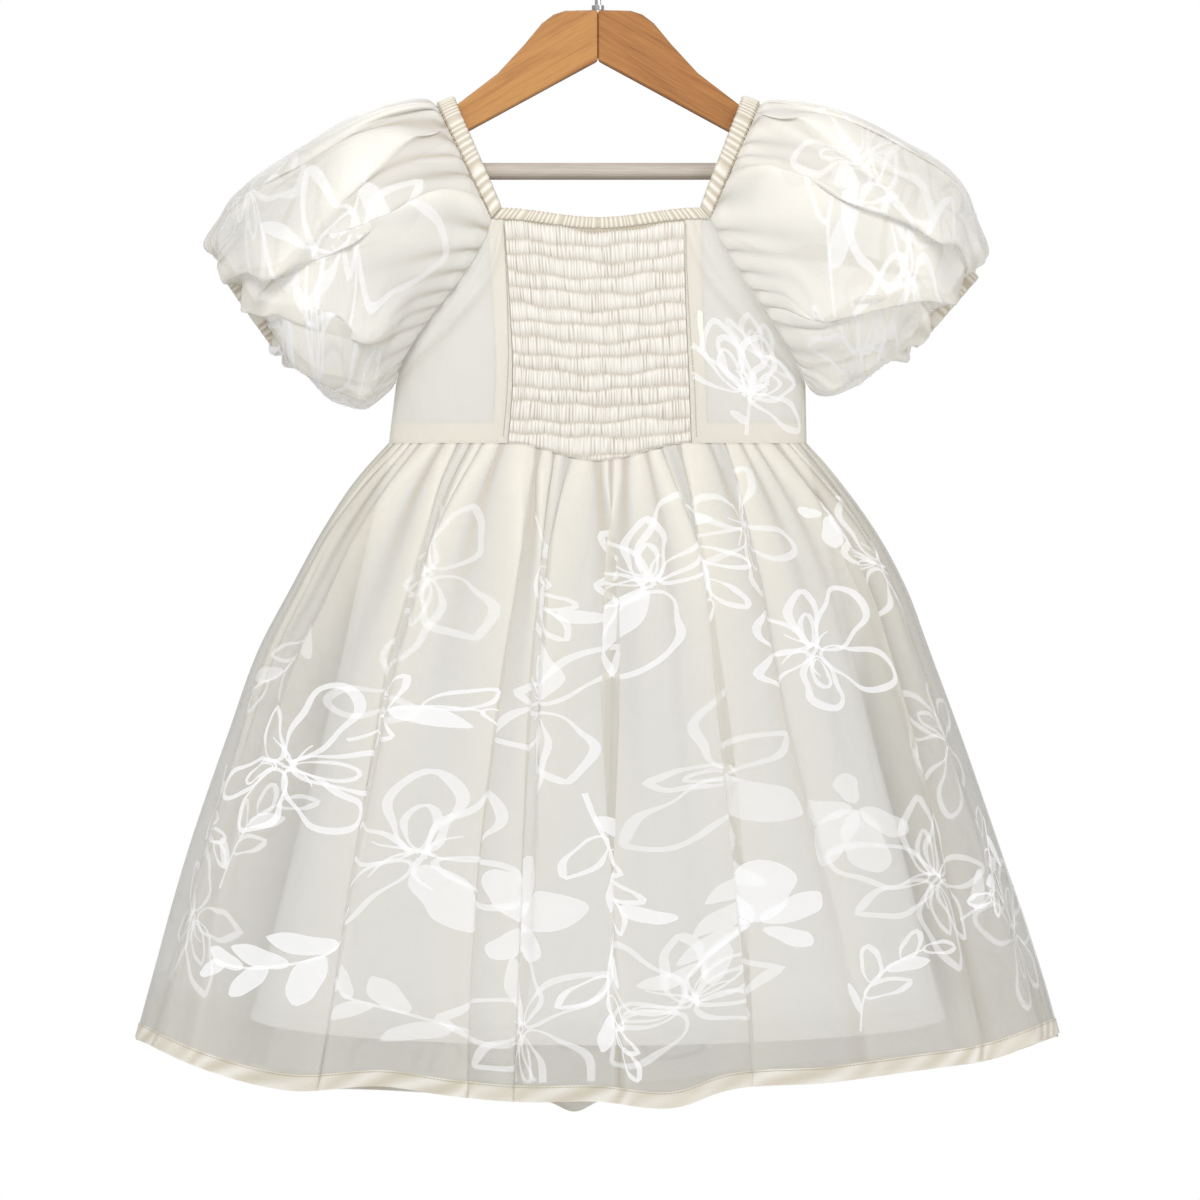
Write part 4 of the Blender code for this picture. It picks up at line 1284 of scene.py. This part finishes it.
class Drawing:
    """Strips and filled shapes in flat millimetres, gathered into one mesh."""

    def __init__(self):
        self.points, self.faces = [], []
        self.strength, self.lift = [], []
        self.shapes = 0

    def set_strength(self, value):
        self.strength += [value] * (len(self.points) - len(self.strength))

    def set_lift(self):
        """Each shape lies a little higher than the last, so no two share one plane."""
        self.shapes += 1
        step = LIFT_STEP * (self.shapes % LIFT_STEPS)
        self.lift += [step] * (len(self.points) - len(self.lift))

    def strip(self, line, width):
        line = np.asarray(line, float)
        ahead = unit(np.gradient(line, axis=0))
        beside = np.stack([-ahead[:, 1], ahead[:, 0]], -1) * np.asarray(width)[..., None] / 2
        start = len(self.points)
        for k in range(len(line)):
            self.points += [line[k] - beside[k], line[k], line[k] + beside[k]]
        for k in range(len(line) - 1):
            a = start + 3 * k
            self.faces += [[a, a + 1, a + 4, a + 3], [a + 1, a + 2, a + 5, a + 4]]
        self.set_lift()

    def fill(self, rim, centre):
        rim, centre = np.asarray(rim, float), np.asarray(centre, float)
        start = len(self.points)
        for k in range(1, FILL_RINGS + 1):
            self.points += list(centre + (rim - centre) * k / FILL_RINGS)
        self.points.append(centre)
        n = len(rim)
        middle = start + FILL_RINGS * n
        for c in range(n):
            d = (c + 1) % n
            self.faces.append([middle, start + c, start + d])
            for k in range(FILL_RINGS - 1):
                a = start + k * n
                self.faces.append([a + c, a + n + c, a + n + d, a + d])
        self.set_lift()


def spun(points, angle, at):
    c, s = np.cos(angle), np.sin(angle)
    return np.asarray(points) @ np.array([[c, s], [-s, c]]) + np.asarray(at)


def petal_rim(length, width, tip, wavy, lean):
    """Up one edge from the foot to the tip and down the other; tip 0 is round, 0.5 is pointed."""
    even = np.linspace(0, 1, 60)
    r = (1 - np.cos(pi * even)) / 2
    half = np.sin(pi * even) * (0.62 + 0.6 * r) * (1 - r) ** tip
    half = width / 2 * half / half.max() * (1 + wavy * np.sin(3.2 * pi * r + 9 * lean))
    spine = length * lean * r**2
    upper = np.stack([length * r, spine + half], -1)
    lower = np.stack([length * r, spine - half * (1 - 0.25 * wavy)], -1)
    return np.vstack([upper, lower[-2::-1]])


def length_along(line):
    return np.concatenate([[0], np.cumsum(np.linalg.norm(np.diff(line, axis=0), axis=1))])


def even_steps(line, count):
    """The same line with its points at equal steps, so that no two fall together at a tip."""
    length = length_along(line)
    at = np.linspace(0, length[-1], count)
    return np.stack([np.interp(at, length, line[:, i]) for i in (0, 1)], -1)


def draw_petal(art, at, angle, length, width, tip, line, filled, wavy, lean):
    rim = spun(petal_rim(length, width, tip, wavy, lean), angle, at)
    loop = even_steps(rim, max(int(length * PETAL_POINTS), 18))
    if filled:
        art.fill(loop[:-1], loop.mean(axis=0))
        return
    t = np.linspace(0, 2 * pi, len(loop))
    art.strip(loop, line * (0.50 + 0.6 * (1 - np.cos(t)) / 2 + 0.20 * np.sin(3 * t + 5 * lean)))


def draw_bloom(art, at, size, petals, turn, spread, filled, tip):
    """Petals of uneven length round a heart, some with a smaller petal inside."""
    for k in range(petals):
        share = k / petals if spread > 6 else k / max(petals - 1, 1)
        angle = turn + spread * share + 0.14 * np.sin(5 * k + size)
        length = size * (0.80 + 0.42 * abs(np.sin(1.9 * k + 3 * turn)))
        width = length * (0.47 + 0.12 * np.sin(2.7 * k + turn))
        way = np.array([np.cos(angle), np.sin(angle)])
        start = np.asarray(at) + 0.08 * size * way
        lean = 0.16 * np.sin(3.3 * k + turn)
        draw_petal(art, start, angle, length, width, tip, OUTLINE, k in filled, 0.12, lean)
        if k % 3 == 1 and k not in filled:
            inner = start + way * 2
            draw_petal(art, inner, angle, length * 0.55, width * 0.45, tip, INNER_LINE, False, 0.05, lean)
    for k in range(4):
        angle = turn + spread * (0.15 + 0.22 * k)
        t = np.linspace(0, 1, 10)
        line = np.stack([size * 0.42 * t, size * 0.10 * np.sin(2.6 * t + k)], -1)
        art.strip(spun(line, angle, at), 2.2 * (1 - 0.6 * t))


Wing = namedtuple("Wing", "angle length width")
WINGS = [Wing(0.35, 1.0, 0.50), Wing(-0.35, 0.92, 0.48), Wing(1.15, 0.70, 0.36),
         Wing(-1.15, 0.66, 0.34), Wing(2.6, 0.45, 0.24)]


def draw_wings(art, at, size, turn):
    """Broad solid petals in pairs and one small one, with narrow gaps between them."""
    for wing in WINGS:
        angle = turn + wing.angle
        start = np.asarray(at) + 2.2 * np.array([np.cos(angle), np.sin(angle)])
        lean = 0.08 * np.sign(wing.angle)
        draw_petal(art, start, angle, size * wing.length, size * wing.width, 0.1, 3, True, 0.10, lean)


def draw_spray(art, at, length, turn, leaves, curl, filled):
    t = np.linspace(0, 1, SPRAY_POINTS)
    bend = curl * t**1.5
    step = length / SPRAY_POINTS
    line = np.cumsum(np.stack([np.cos(bend), np.sin(bend)], -1) * step, axis=0)
    art.strip(spun(line, turn, at), 2.4 * (1 - 0.45 * t))
    for k in range(leaves):
        share = 0.22 + 0.78 * k / max(leaves - 1, 1)
        i = min(int(share * (SPRAY_POINTS - 1)), SPRAY_POINTS - 1)
        foot = spun(line[i : i + 1], turn, at)[0]
        way = 1 if k % 2 else -1
        angle = turn + bend[i] + way * (0.85 - 0.60 * share)
        size = length * (0.36 - 0.16 * abs(share - 0.45))
        solid = filled or k % 3 == 0
        draw_petal(art, foot, angle, size, size * 0.40, 0.35, LEAF_LINE, solid, 0.08, 0.12 * way)


# %% [markdown]
# ## Laying the drawing on the cloth
#
# Each drawn point becomes a place on the sheet, moved out by half a millimetre along the sheet's
# normal. The drawing stops at the sheet's edges and above its turned hem, as patterned cloth does
# where it is cut.

# %% Laying the drawing on a sheet
FLOWER_RISE = 0.5
CUT_RIM, CUT_FOOT = 0.004, 0.972


def lay_on(name, art, surface, cut, turn_over=False):
    flat = np.array(art.points)
    u, v = flat[:, 0] / cut[0], flat[:, 1] / cut[1]
    points = raised(surface, u, v, FLOWER_RISE + np.array(art.lift), turn_over)
    inside = (u > CUT_RIM) & (u < 1 - CUT_RIM) & (v > CUT_RIM) & (v < CUT_FOOT)
    faces = [f for f in art.faces if all(inside[k] for k in f)]
    used = np.unique(np.concatenate([np.array(f) for f in faces]))
    place = -np.ones(len(points), int)
    place[used] = np.arange(len(used))
    piece = make_object(name, points[used], [[int(place[k]) for k in f] for f in faces],
                        None, np.stack([u, v], -1)[used] * 0.5, np.array(art.strength)[used])
    piece.data.materials.append(MOTIF)
    let_light_through(piece)
    print(name, "faces", len(faces))
    return piece


# Spread is how far round a bloom's petals go, or a spray's bend. Filled names the solid petals,
# or says whether a spray's leaves are solid.
Motif = namedtuple("Motif", "kind x y size turn count spread filled tip")
ROUND, POINTED, WHOLE = 0.05, 0.4, 6.28
FAINTEST, STRONGEST = 0.32, 0.70
SKIRT_MOTIFS = [
    Motif("bloom", 262, 292, 50, 0.3, 6, WHOLE, (1,), ROUND),
    Motif("spray", 232, 322, 105, 2.2, 7, 0.9, True, 0),
    Motif("wings", 318, 330, 56, -0.7, 0, 0, (), 0),
    Motif("bloom", 352, 176, 50, 1.2, 7, 4.2, (5,), POINTED),
    Motif("spray", 372, 232, 96, 1.4, 7, -0.7, False, 0),
    Motif("bloom", 468, 236, 50, 2.5, 6, WHOLE, (4,), POINTED),
    Motif("spray", 476, 268, 100, 1.6, 8, 0.8, True, 0),
    Motif("bloom", 556, 150, 42, 0.5, 6, WHOLE, (), ROUND),
    Motif("wings", 560, 262, 50, 1.9, 0, 0, (), 0),
    Motif("bloom", 596, 320, 50, 0.9, 7, WHOLE, (), POINTED),
    Motif("spray", 622, 352, 95, -0.2, 6, -1.1, False, 0),
    Motif("bloom", 160, 232, 50, 1.9, 6, WHOLE, (), ROUND),
    Motif("spray", 184, 210, 95, -0.5, 6, 0.6, False, 0),
    Motif("bloom", 108, 352, 48, 0.1, 6, 4.6, (), POINTED),
    Motif("spray", 128, 330, 80, -1.4, 6, 0.7, False, 0),
    Motif("bloom", 338, 402, 50, 0.8, 7, 4.8, (4,), POINTED),
    Motif("spray", 296, 408, 84, 3.3, 6, 0.8, True, 0),
    Motif("bloom", 436, 386, 50, 2.4, 7, 4.4, (), POINTED),
    Motif("spray", 530, 422, 76, -1.2, 6, 0.9, False, 0),
    Motif("wings", 492, 340, 44, -1.9, 0, 0, (), 0),
    Motif("bloom", 662, 226, 46, 2.8, 6, WHOLE, (), ROUND),
    Motif("bloom", 694, 372, 48, 1.1, 6, WHOLE, (), ROUND),
    Motif("bloom", 250, 92, 46, 0.9, 6, 4.0, (), POINTED),
    Motif("spray", 306, 44, 90, 1.2, 7, -0.8, False, 0),
    Motif("bloom", 432, 92, 50, 1.7, 7, 4.2, (1,), POINTED),
    Motif("spray", 462, 40, 80, 0.8, 6, 0.9, False, 0),
    Motif("bloom", 520, 62, 40, 0.2, 5, WHOLE, (), ROUND),
    Motif("spray", 150, 112, 92, 1.8, 6, 0.9, False, 0),
    Motif("bloom", 648, 92, 42, 2.2, 5, WHOLE, (), ROUND),
    Motif("wings", 600, 52, 34, 0.6, 0, 0, (), 0),
    Motif("spray", 52, 240, 84, 1.1, 6, -0.8, False, 0),
    Motif("spray", 716, 282, 84, 2.0, 6, 0.8, False, 0),
    Motif("spray", 392, 330, 90, 1.9, 6, -1.2, False, 0),
    Motif("bloom", 214, 178, 34, 2.9, 5, WHOLE, (), ROUND),
]


def draw_motifs(table, mirror=None):
    art = Drawing()
    for m in table:
        at = (m.x if mirror is None else mirror - m.x, m.y)
        if m.kind == "bloom":
            draw_bloom(art, at, m.size, m.count, m.turn, m.spread, m.filled, m.tip)
        elif m.kind == "wings":
            draw_wings(art, at, m.size, m.turn)
        else:
            draw_spray(art, at, m.size, m.turn, m.count, m.spread, m.filled)
        art.set_strength(rng.uniform(FAINTEST, STRONGEST))
    return art


BACK_MIRROR = SKIRT_CUT[0] + 40
front_art = draw_motifs(SKIRT_MOTIFS)
front_flowers = lay_on("skirt_front_flowers", front_art, FRONT_SKIRT, SKIRT_CUT)
back_art = draw_motifs(SKIRT_MOTIFS, BACK_MIRROR)
back_flowers = lay_on("skirt_back_flowers", back_art, BACK_SKIRT, SKIRT_CUT)

# %% [markdown]
# ## Flowers on the sleeves and the right side front
#
# The sleeves carry the same kinds of flower. Both use one table, and the right one's is turned
# over and turned round, so the sleeves don't look like copies. The left side front stays plain.

# %% Flowers on the sleeves and the right side front
SLEEVE_MOTIFS = [
    Motif("bloom", 118, 92, 52, 0.4, 6, 4.6, (), POINTED),
    Motif("spray", 60, 60, 95, 0.5, 6, 0.8, False, 0),
    Motif("bloom", 196, 132, 46, 2.2, 6, WHOLE, (), POINTED),
    Motif("bloom", 52, 150, 40, 1.4, 5, WHOLE, (), ROUND),
    Motif("spray", 150, 150, 86, 0.9, 6, -0.8, False, 0),
    Motif("bloom", 232, 80, 40, 3.6, 5, WHOLE, (), ROUND),
    Motif("spray", 20, 110, 80, 0.9, 5, 0.8, False, 0),
    Motif("bloom", 330, 90, 46, 1.0, 6, WHOLE, (), POINTED),
    Motif("spray", 400, 150, 86, 2.6, 6, 0.7, False, 0),
    Motif("bloom", 455, 100, 44, 0.2, 6, WHOLE, (), ROUND),
]
SLEEVE_MIRROR, SLEEVE_TURN = 235, 2.4
for side, surface, sleeve in ((LEFT, LEFT_SLEEVE, sleeve_left), (RIGHT, RIGHT_SLEEVE, sleeve_right)):
    table = SLEEVE_MOTIFS
    if side is RIGHT:
        table = [m._replace(y=SLEEVE_MIRROR - m.y, turn=m.turn + SLEEVE_TURN) for m in SLEEVE_MOTIFS]
    flowers = lay_on("sleeve_flowers_" + side.name, draw_motifs(table), surface, SLEEVE_CUT,
                     side is RIGHT)

SIDE_CUT = (84.0, 150.0)
SIDE_MOTIFS = [
    Motif("bloom", 25, 118, 40, 3.9, 6, 2.6, (), ROUND),
    Motif("spray", 26, 146, 40, -1.5, 3, 0.2, False, 0),
    Motif("bloom", 46, 92, 26, 4.3, 4, 2.4, (), POINTED),
]
side_flowers = lay_on("side_front_flowers", draw_motifs(SIDE_MOTIFS), SHEER_RIGHT, SIDE_CUT)
for panel, made in ((side_front_left, strips_left), (side_front_right, strips_right + [side_flowers])):
    sheet_area(panel)
    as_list(made)

# %% [markdown]
# ## Stitches
#
# The rows of machine stitching are short bars of thread, each just above the cloth it holds.
# They follow lines drawn on the same functions, evenly spaced by length, and are joined into
# one mesh for each seam.

# %% Rows of stitches
HEM_STITCH, HEM_STITCH_UP = 2.3, 1.2
STITCH_SHARE = 0.68


def sew(name, line, thickness, stitch):
    """Thread bars along a line of points in mm, one for each stitch length, pointed at both ends."""
    length = length_along(line)
    count = max(int(length[-1] / stitch), 1)
    points, faces = [], []
    for k in range(count):
        ends = []
        for at in (k * stitch, (k + STITCH_SHARE) * stitch):
            ends.append(np.array([np.interp(at, length, line[:, i]) for i in range(3)]))
        ahead = unit(ends[1] - ends[0])
        side = unit(np.cross(ahead, [0.3, 1.0, 0.2]))
        up = np.cross(ahead, side)
        start = len(points)
        rings = ((ends[0], 0.35), (ends[0] + ahead * 0.3, 1),
                 (ends[1] - ahead * 0.3, 1), (ends[1], 0.35))
        for end, pull in rings:
            for a, b in ((1, 0), (0, 1), (-1, 0), (0, -1)):
                points.append(end + (side * a + up * b) * thickness * pull)
        for ring in range(3):
            for j in range(4):
                a, b = start + ring * 4 + j, start + ring * 4 + (j + 1) % 4
                faces.append([a, b, b + 4, a + 4])
        faces.append([start + j for j in (3, 2, 1, 0)])
        faces.append([start + 12 + j for j in range(4)])
    seam = make_object(name, np.array(points), faces)
    seam.data.materials.append(THREADS)
    return seam


across = np.linspace(0.004, 0.996, 900)
hem_seam = 1 - (HEM_DEPTH - HEM_STITCH_UP) / SKIRT_CUT[1]
for name, surface in (("front", FRONT_SKIRT), ("back", BACK_SKIRT)):
    line = raised(surface, across, hem_seam, 0.75)
    sew("hem_stitches_" + name, line, 0.2, HEM_STITCH)
for side in (LEFT, RIGHT):
    low, high, outward = casing_edges(side)
    t = np.linspace(0.01, 0.99, 160)
    line = low(t) + (high(t) - low(t)) * 0.08 + outward(t) * 2.0
    sew("shoulder_stitches_" + side.name, line, 0.32, 2.4)
down = np.linspace(0.02, 0.98, 200)
for name, surface, at in (("left", SHEER_LEFT, 0.975), ("right", SHEER_RIGHT, 0.025)):
    sew("front_seam_stitches_" + name, raised(surface, at, down, 0.3), 0.22, 2.2)

# %% [markdown]
# ## The hanger
#
# The hanger's shapes are right as packed, so they only get finishes. The arms are varnished
# hardwood: long streaks that run with each arm, so the grain is turned by the arm's slope and
# meets in a mitre. The bar is pale, dry wood and the hook is polished steel wire.

# %% Wood and steel
ARM_SLOPE = radians(30)
# How far down a face must look to get the painted shade, from none to all.
DOWN_FACING = (-0.15, -0.65)


def wood_material(name, slope, stops, stretch, roughness, coat, underside_shade):
    """Streaks along the slope, coarse and fine. Faces that look down are multiplied by a darker colour as
    painted shade.
    """
    material, nodes, links = new_material(name)
    shader = nodes["Principled BSDF"]
    place = add_node(nodes, "ShaderNodeTexCoord")
    turned = add_node(nodes, "ShaderNodeMapping", Rotation=(0, slope, 0))
    squeezed = add_node(nodes, "ShaderNodeMapping", Scale=stretch)
    grain = add_node(nodes, "ShaderNodeTexNoise", Scale=30.0, Detail=8.0, Roughness=0.65)
    fine = add_node(nodes, "ShaderNodeTexNoise", Scale=420.0, Detail=5.0, Roughness=0.7)
    mix = add_node(nodes, "ShaderNodeMix", Factor=0.5)
    colours = ramp(nodes, stops)
    bump = add_node(nodes, "ShaderNodeBump", Strength=0.12, Distance=0.0004)
    connect(links, (place, "Object", turned, "Vector"), (turned, "Vector", squeezed, "Vector"),
            (squeezed, "Vector", grain, "Vector"), (squeezed, "Vector", fine, "Vector"),
            (grain, "Fac", mix, "A"), (fine, "Fac", mix, "B"),
            (mix, "Result", colours, "Fac"), (mix, "Result", bump, "Height"))
    facing = add_node(nodes, "ShaderNodeSeparateXYZ")
    below = add_node(nodes, "ShaderNodeMapRange")
    shaded = add_node(nodes, "ShaderNodeMix", data_type="RGBA", blend_type="MULTIPLY")
    below.inputs["From Min"].default_value, below.inputs["From Max"].default_value = DOWN_FACING
    shaded.inputs["B"].default_value = (*underside_shade, 1)
    connect(links, (place, "Normal", facing, 0), (facing, "Z", below, "Value"),
            (below, "Result", shaded, "Factor"), (colours, "Color", shaded, "A"),
            (shaded, "Result", shader, "Base Color"), (bump, "Normal", shader, "Normal"))
    shader.inputs["Roughness"].default_value = roughness
    shader.inputs["Coat Weight"].default_value = coat
    return material


def dress_node(node, material):
    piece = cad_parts[node]
    piece.data.materials.clear()
    piece.data.materials.append(material)


OAK = [(0.32, (0.21, 0.076, 0.017)), (0.46, (0.45, 0.195, 0.052)),
       (0.58, (0.57, 0.275, 0.08)), (0.72, (0.34, 0.13, 0.031))]
# The right arm gets a darker, redder copy of the same wood: painted shade for the side the light reaches
# less.
OAK_SHADED = [(at, (0.84 * red, 0.76 * green, 0.66 * blue)) for at, (red, green, blue) in OAK]
PALE = [(0.3, (0.40, 0.35, 0.29)), (0.55, (0.56, 0.50, 0.43)), (0.8, (0.66, 0.61, 0.54))]
for side, stops in ((LEFT, OAK), (RIGHT, OAK_SHADED)):
    wood = wood_material("varnished_wood_" + side.name, -side.sign * ARM_SLOPE, stops, (0.07, 1.0, 1.6),
                         0.5, 0.08, (0.42, 0.36, 0.32))
    dress_node("hanger_arm_" + side.name, wood)
dress_node("hanger_bar", wood_material("pale_wood", 0.0, PALE, (0.10, 1.0, 1.5), 0.7, 0.0, (0.8, 0.78, 0.75)))

# %% [markdown]
# ## The dark line of the mitre
#
# The two arms meet at the middle with a glue line, seen as a dark hair between them. It is a
# thin plate, set a little behind the arms' faces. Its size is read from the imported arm, so it
# fills the gap that is there.

# %% The dark line of the mitre
arm = np.array([v.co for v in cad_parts["hanger_arm_left"].data.vertices]) / MM
face = arm[arm[:, 0] > arm[:, 0].max() - 0.3]
low_z, high_z = face[:, 2].min() + 0.6, face[:, 2].max() - 0.6
near_y, far_y = face[:, 1].min() + 0.8, face[:, 1].max() - 0.8
half = abs(arm[:, 0].max()) + 0.05
corners = [[x, y, z] for x in (-half, half) for y in (near_y, far_y) for z in (low_z, high_z)]
sides = [[0, 1, 3, 2], [4, 6, 7, 5], [0, 4, 5, 1], [2, 3, 7, 6], [0, 2, 6, 4], [1, 5, 7, 3]]
glue = make_object("mitre_glue_line", corners, sides)
glue.data.polygons.foreach_set("use_smooth", [False] * 6)
GLUE = [(0.4, (0.10, 0.040, 0.012)), (0.6, (0.17, 0.070, 0.022))]
glue_wood = wood_material("mitre_glue", 0.0, GLUE, (1.0, 1.0, 0.3), 0.6, 0.0, (1.0, 1.0, 1.0))
glue.data.materials.append(glue_wood)
print("mitre gap", round(2 * half, 2), "mm wide, from", round(low_z, 1), "to", round(high_z, 1))

# %% [markdown]
# ## The hook
#
# The hook and its collar are drawn and polished steel. A full metal reflects whatever is round
# it, so in a white room it needs a darker colour of its own to be seen, and a very fine noise
# stands for the marks of drawing the wire.

# %% The hook
steel, nodes, links = new_material("hook_steel")
shader = nodes["Principled BSDF"]
shader.inputs["Metallic"].default_value = 1.0
shader.inputs["Roughness"].default_value = 0.3
drawn = add_node(nodes, "ShaderNodeTexNoise", Scale=900.0, Detail=3.0)
tone = ramp(nodes, [(0.35, (0.42, 0.42, 0.43)), (0.65, (0.58, 0.58, 0.59))])
connect(links, (drawn, "Fac", tone, "Fac"), (tone, "Color", shader, "Base Color"))
dress_node("hanger_hook", steel)
dress_node("hanger_hook_collar", steel)

# %% [markdown]
# ## Light, floor and camera
#
# White cloth needs soft light with a clear direction, or its folds vanish. A large lamp hangs
# up and to the left in front, with a weak one on the right and one behind for the views from
# there. The camera sees a white room, while the cloth is lit by a dimmer one. It stands far off
# with a long lens, level with the middle of the picture, so that the outline has hardly any
# perspective.

# %% The studio
# The picture is 1200 pixels wide, each 0.68 mm at the front of the dress.
PICTURE_SIDE = 1200 * 0.68 * MM
MIDDLE_X, MIDDLE_Z = 1.4 * MM, -476.0 * MM
CAMERA_AWAY = 8.0
SENSOR = 36
LAMPS_AIM = (0, 0, -0.48)
ROOM_SEEN, ROOM_FELT = 1.0, 0.53
FLOOR_RADIUS, FLOOR_Z = 1.1, -0.95
WHITE = (1, 1, 1, 1)


def add_lamp(name, place, size, power):
    lamp = bpy.data.lights.new(name, "AREA")
    lamp.shape, lamp.size, lamp.energy = "SQUARE", size, power
    thing = bpy.data.objects.new(name, lamp)
    thing.location = place
    thing.rotation_euler = (Vector(LAMPS_AIM) - Vector(place)).to_track_quat("-Z", "Y").to_euler()
    bpy.context.scene.collection.objects.link(thing)


add_lamp("key_lamp", (-1.0, -3.6, 1.9), 1.3, 97)
add_lamp("fill_lamp", (2.6, -2.6, 0.2), 1.6, 23)
add_lamp("back_lamp", (-0.4, 2.6, 1.0), 1.4, 26)

world = bpy.data.worlds.new("white_room")
bpy.context.scene.world = world
world.use_nodes = True
nodes, links = world.node_tree.nodes, world.node_tree.links
nodes.clear()
seen = add_node(nodes, "ShaderNodeBackground", Color=WHITE, Strength=ROOM_SEEN)
felt = add_node(nodes, "ShaderNodeBackground", Color=WHITE, Strength=ROOM_FELT)
path = add_node(nodes, "ShaderNodeLightPath")
blend = add_node(nodes, "ShaderNodeMixShader")
out = add_node(nodes, "ShaderNodeOutputWorld")
connect(links, (path, "Is Camera Ray", blend, "Fac"), (felt, 0, blend, 1), (seen, 0, blend, 2),
        (blend, 0, out, "Surface"))

bpy.ops.mesh.primitive_circle_add(vertices=96, radius=FLOOR_RADIUS, fill_type="NGON",
                                  location=(0, 0, FLOOR_Z))
floor = bpy.context.object
floor.name = "studio_floor"
pale, nodes, links = new_material("pale_floor")
shader = nodes["Principled BSDF"]
shader.inputs["Base Color"].default_value = (0.86, 0.86, 0.85, 1)
shader.inputs["Roughness"].default_value = 0.8
floor.data.materials.append(pale)

camera = bpy.data.objects.new("camera", bpy.data.cameras.new("camera"))
bpy.context.scene.collection.objects.link(camera)
camera.location = (MIDDLE_X, -CAMERA_AWAY, MIDDLE_Z)
camera.rotation_euler = (radians(90), 0, 0)
camera.data.sensor_width = SENSOR
camera.data.lens = SENSOR * CAMERA_AWAY / PICTURE_SIDE
bpy.context.scene.camera = camera
bpy.context.scene.view_settings.view_transform = "Standard"
print("camera lens", round(camera.data.lens), "mm,", CAMERA_AWAY, "m away")
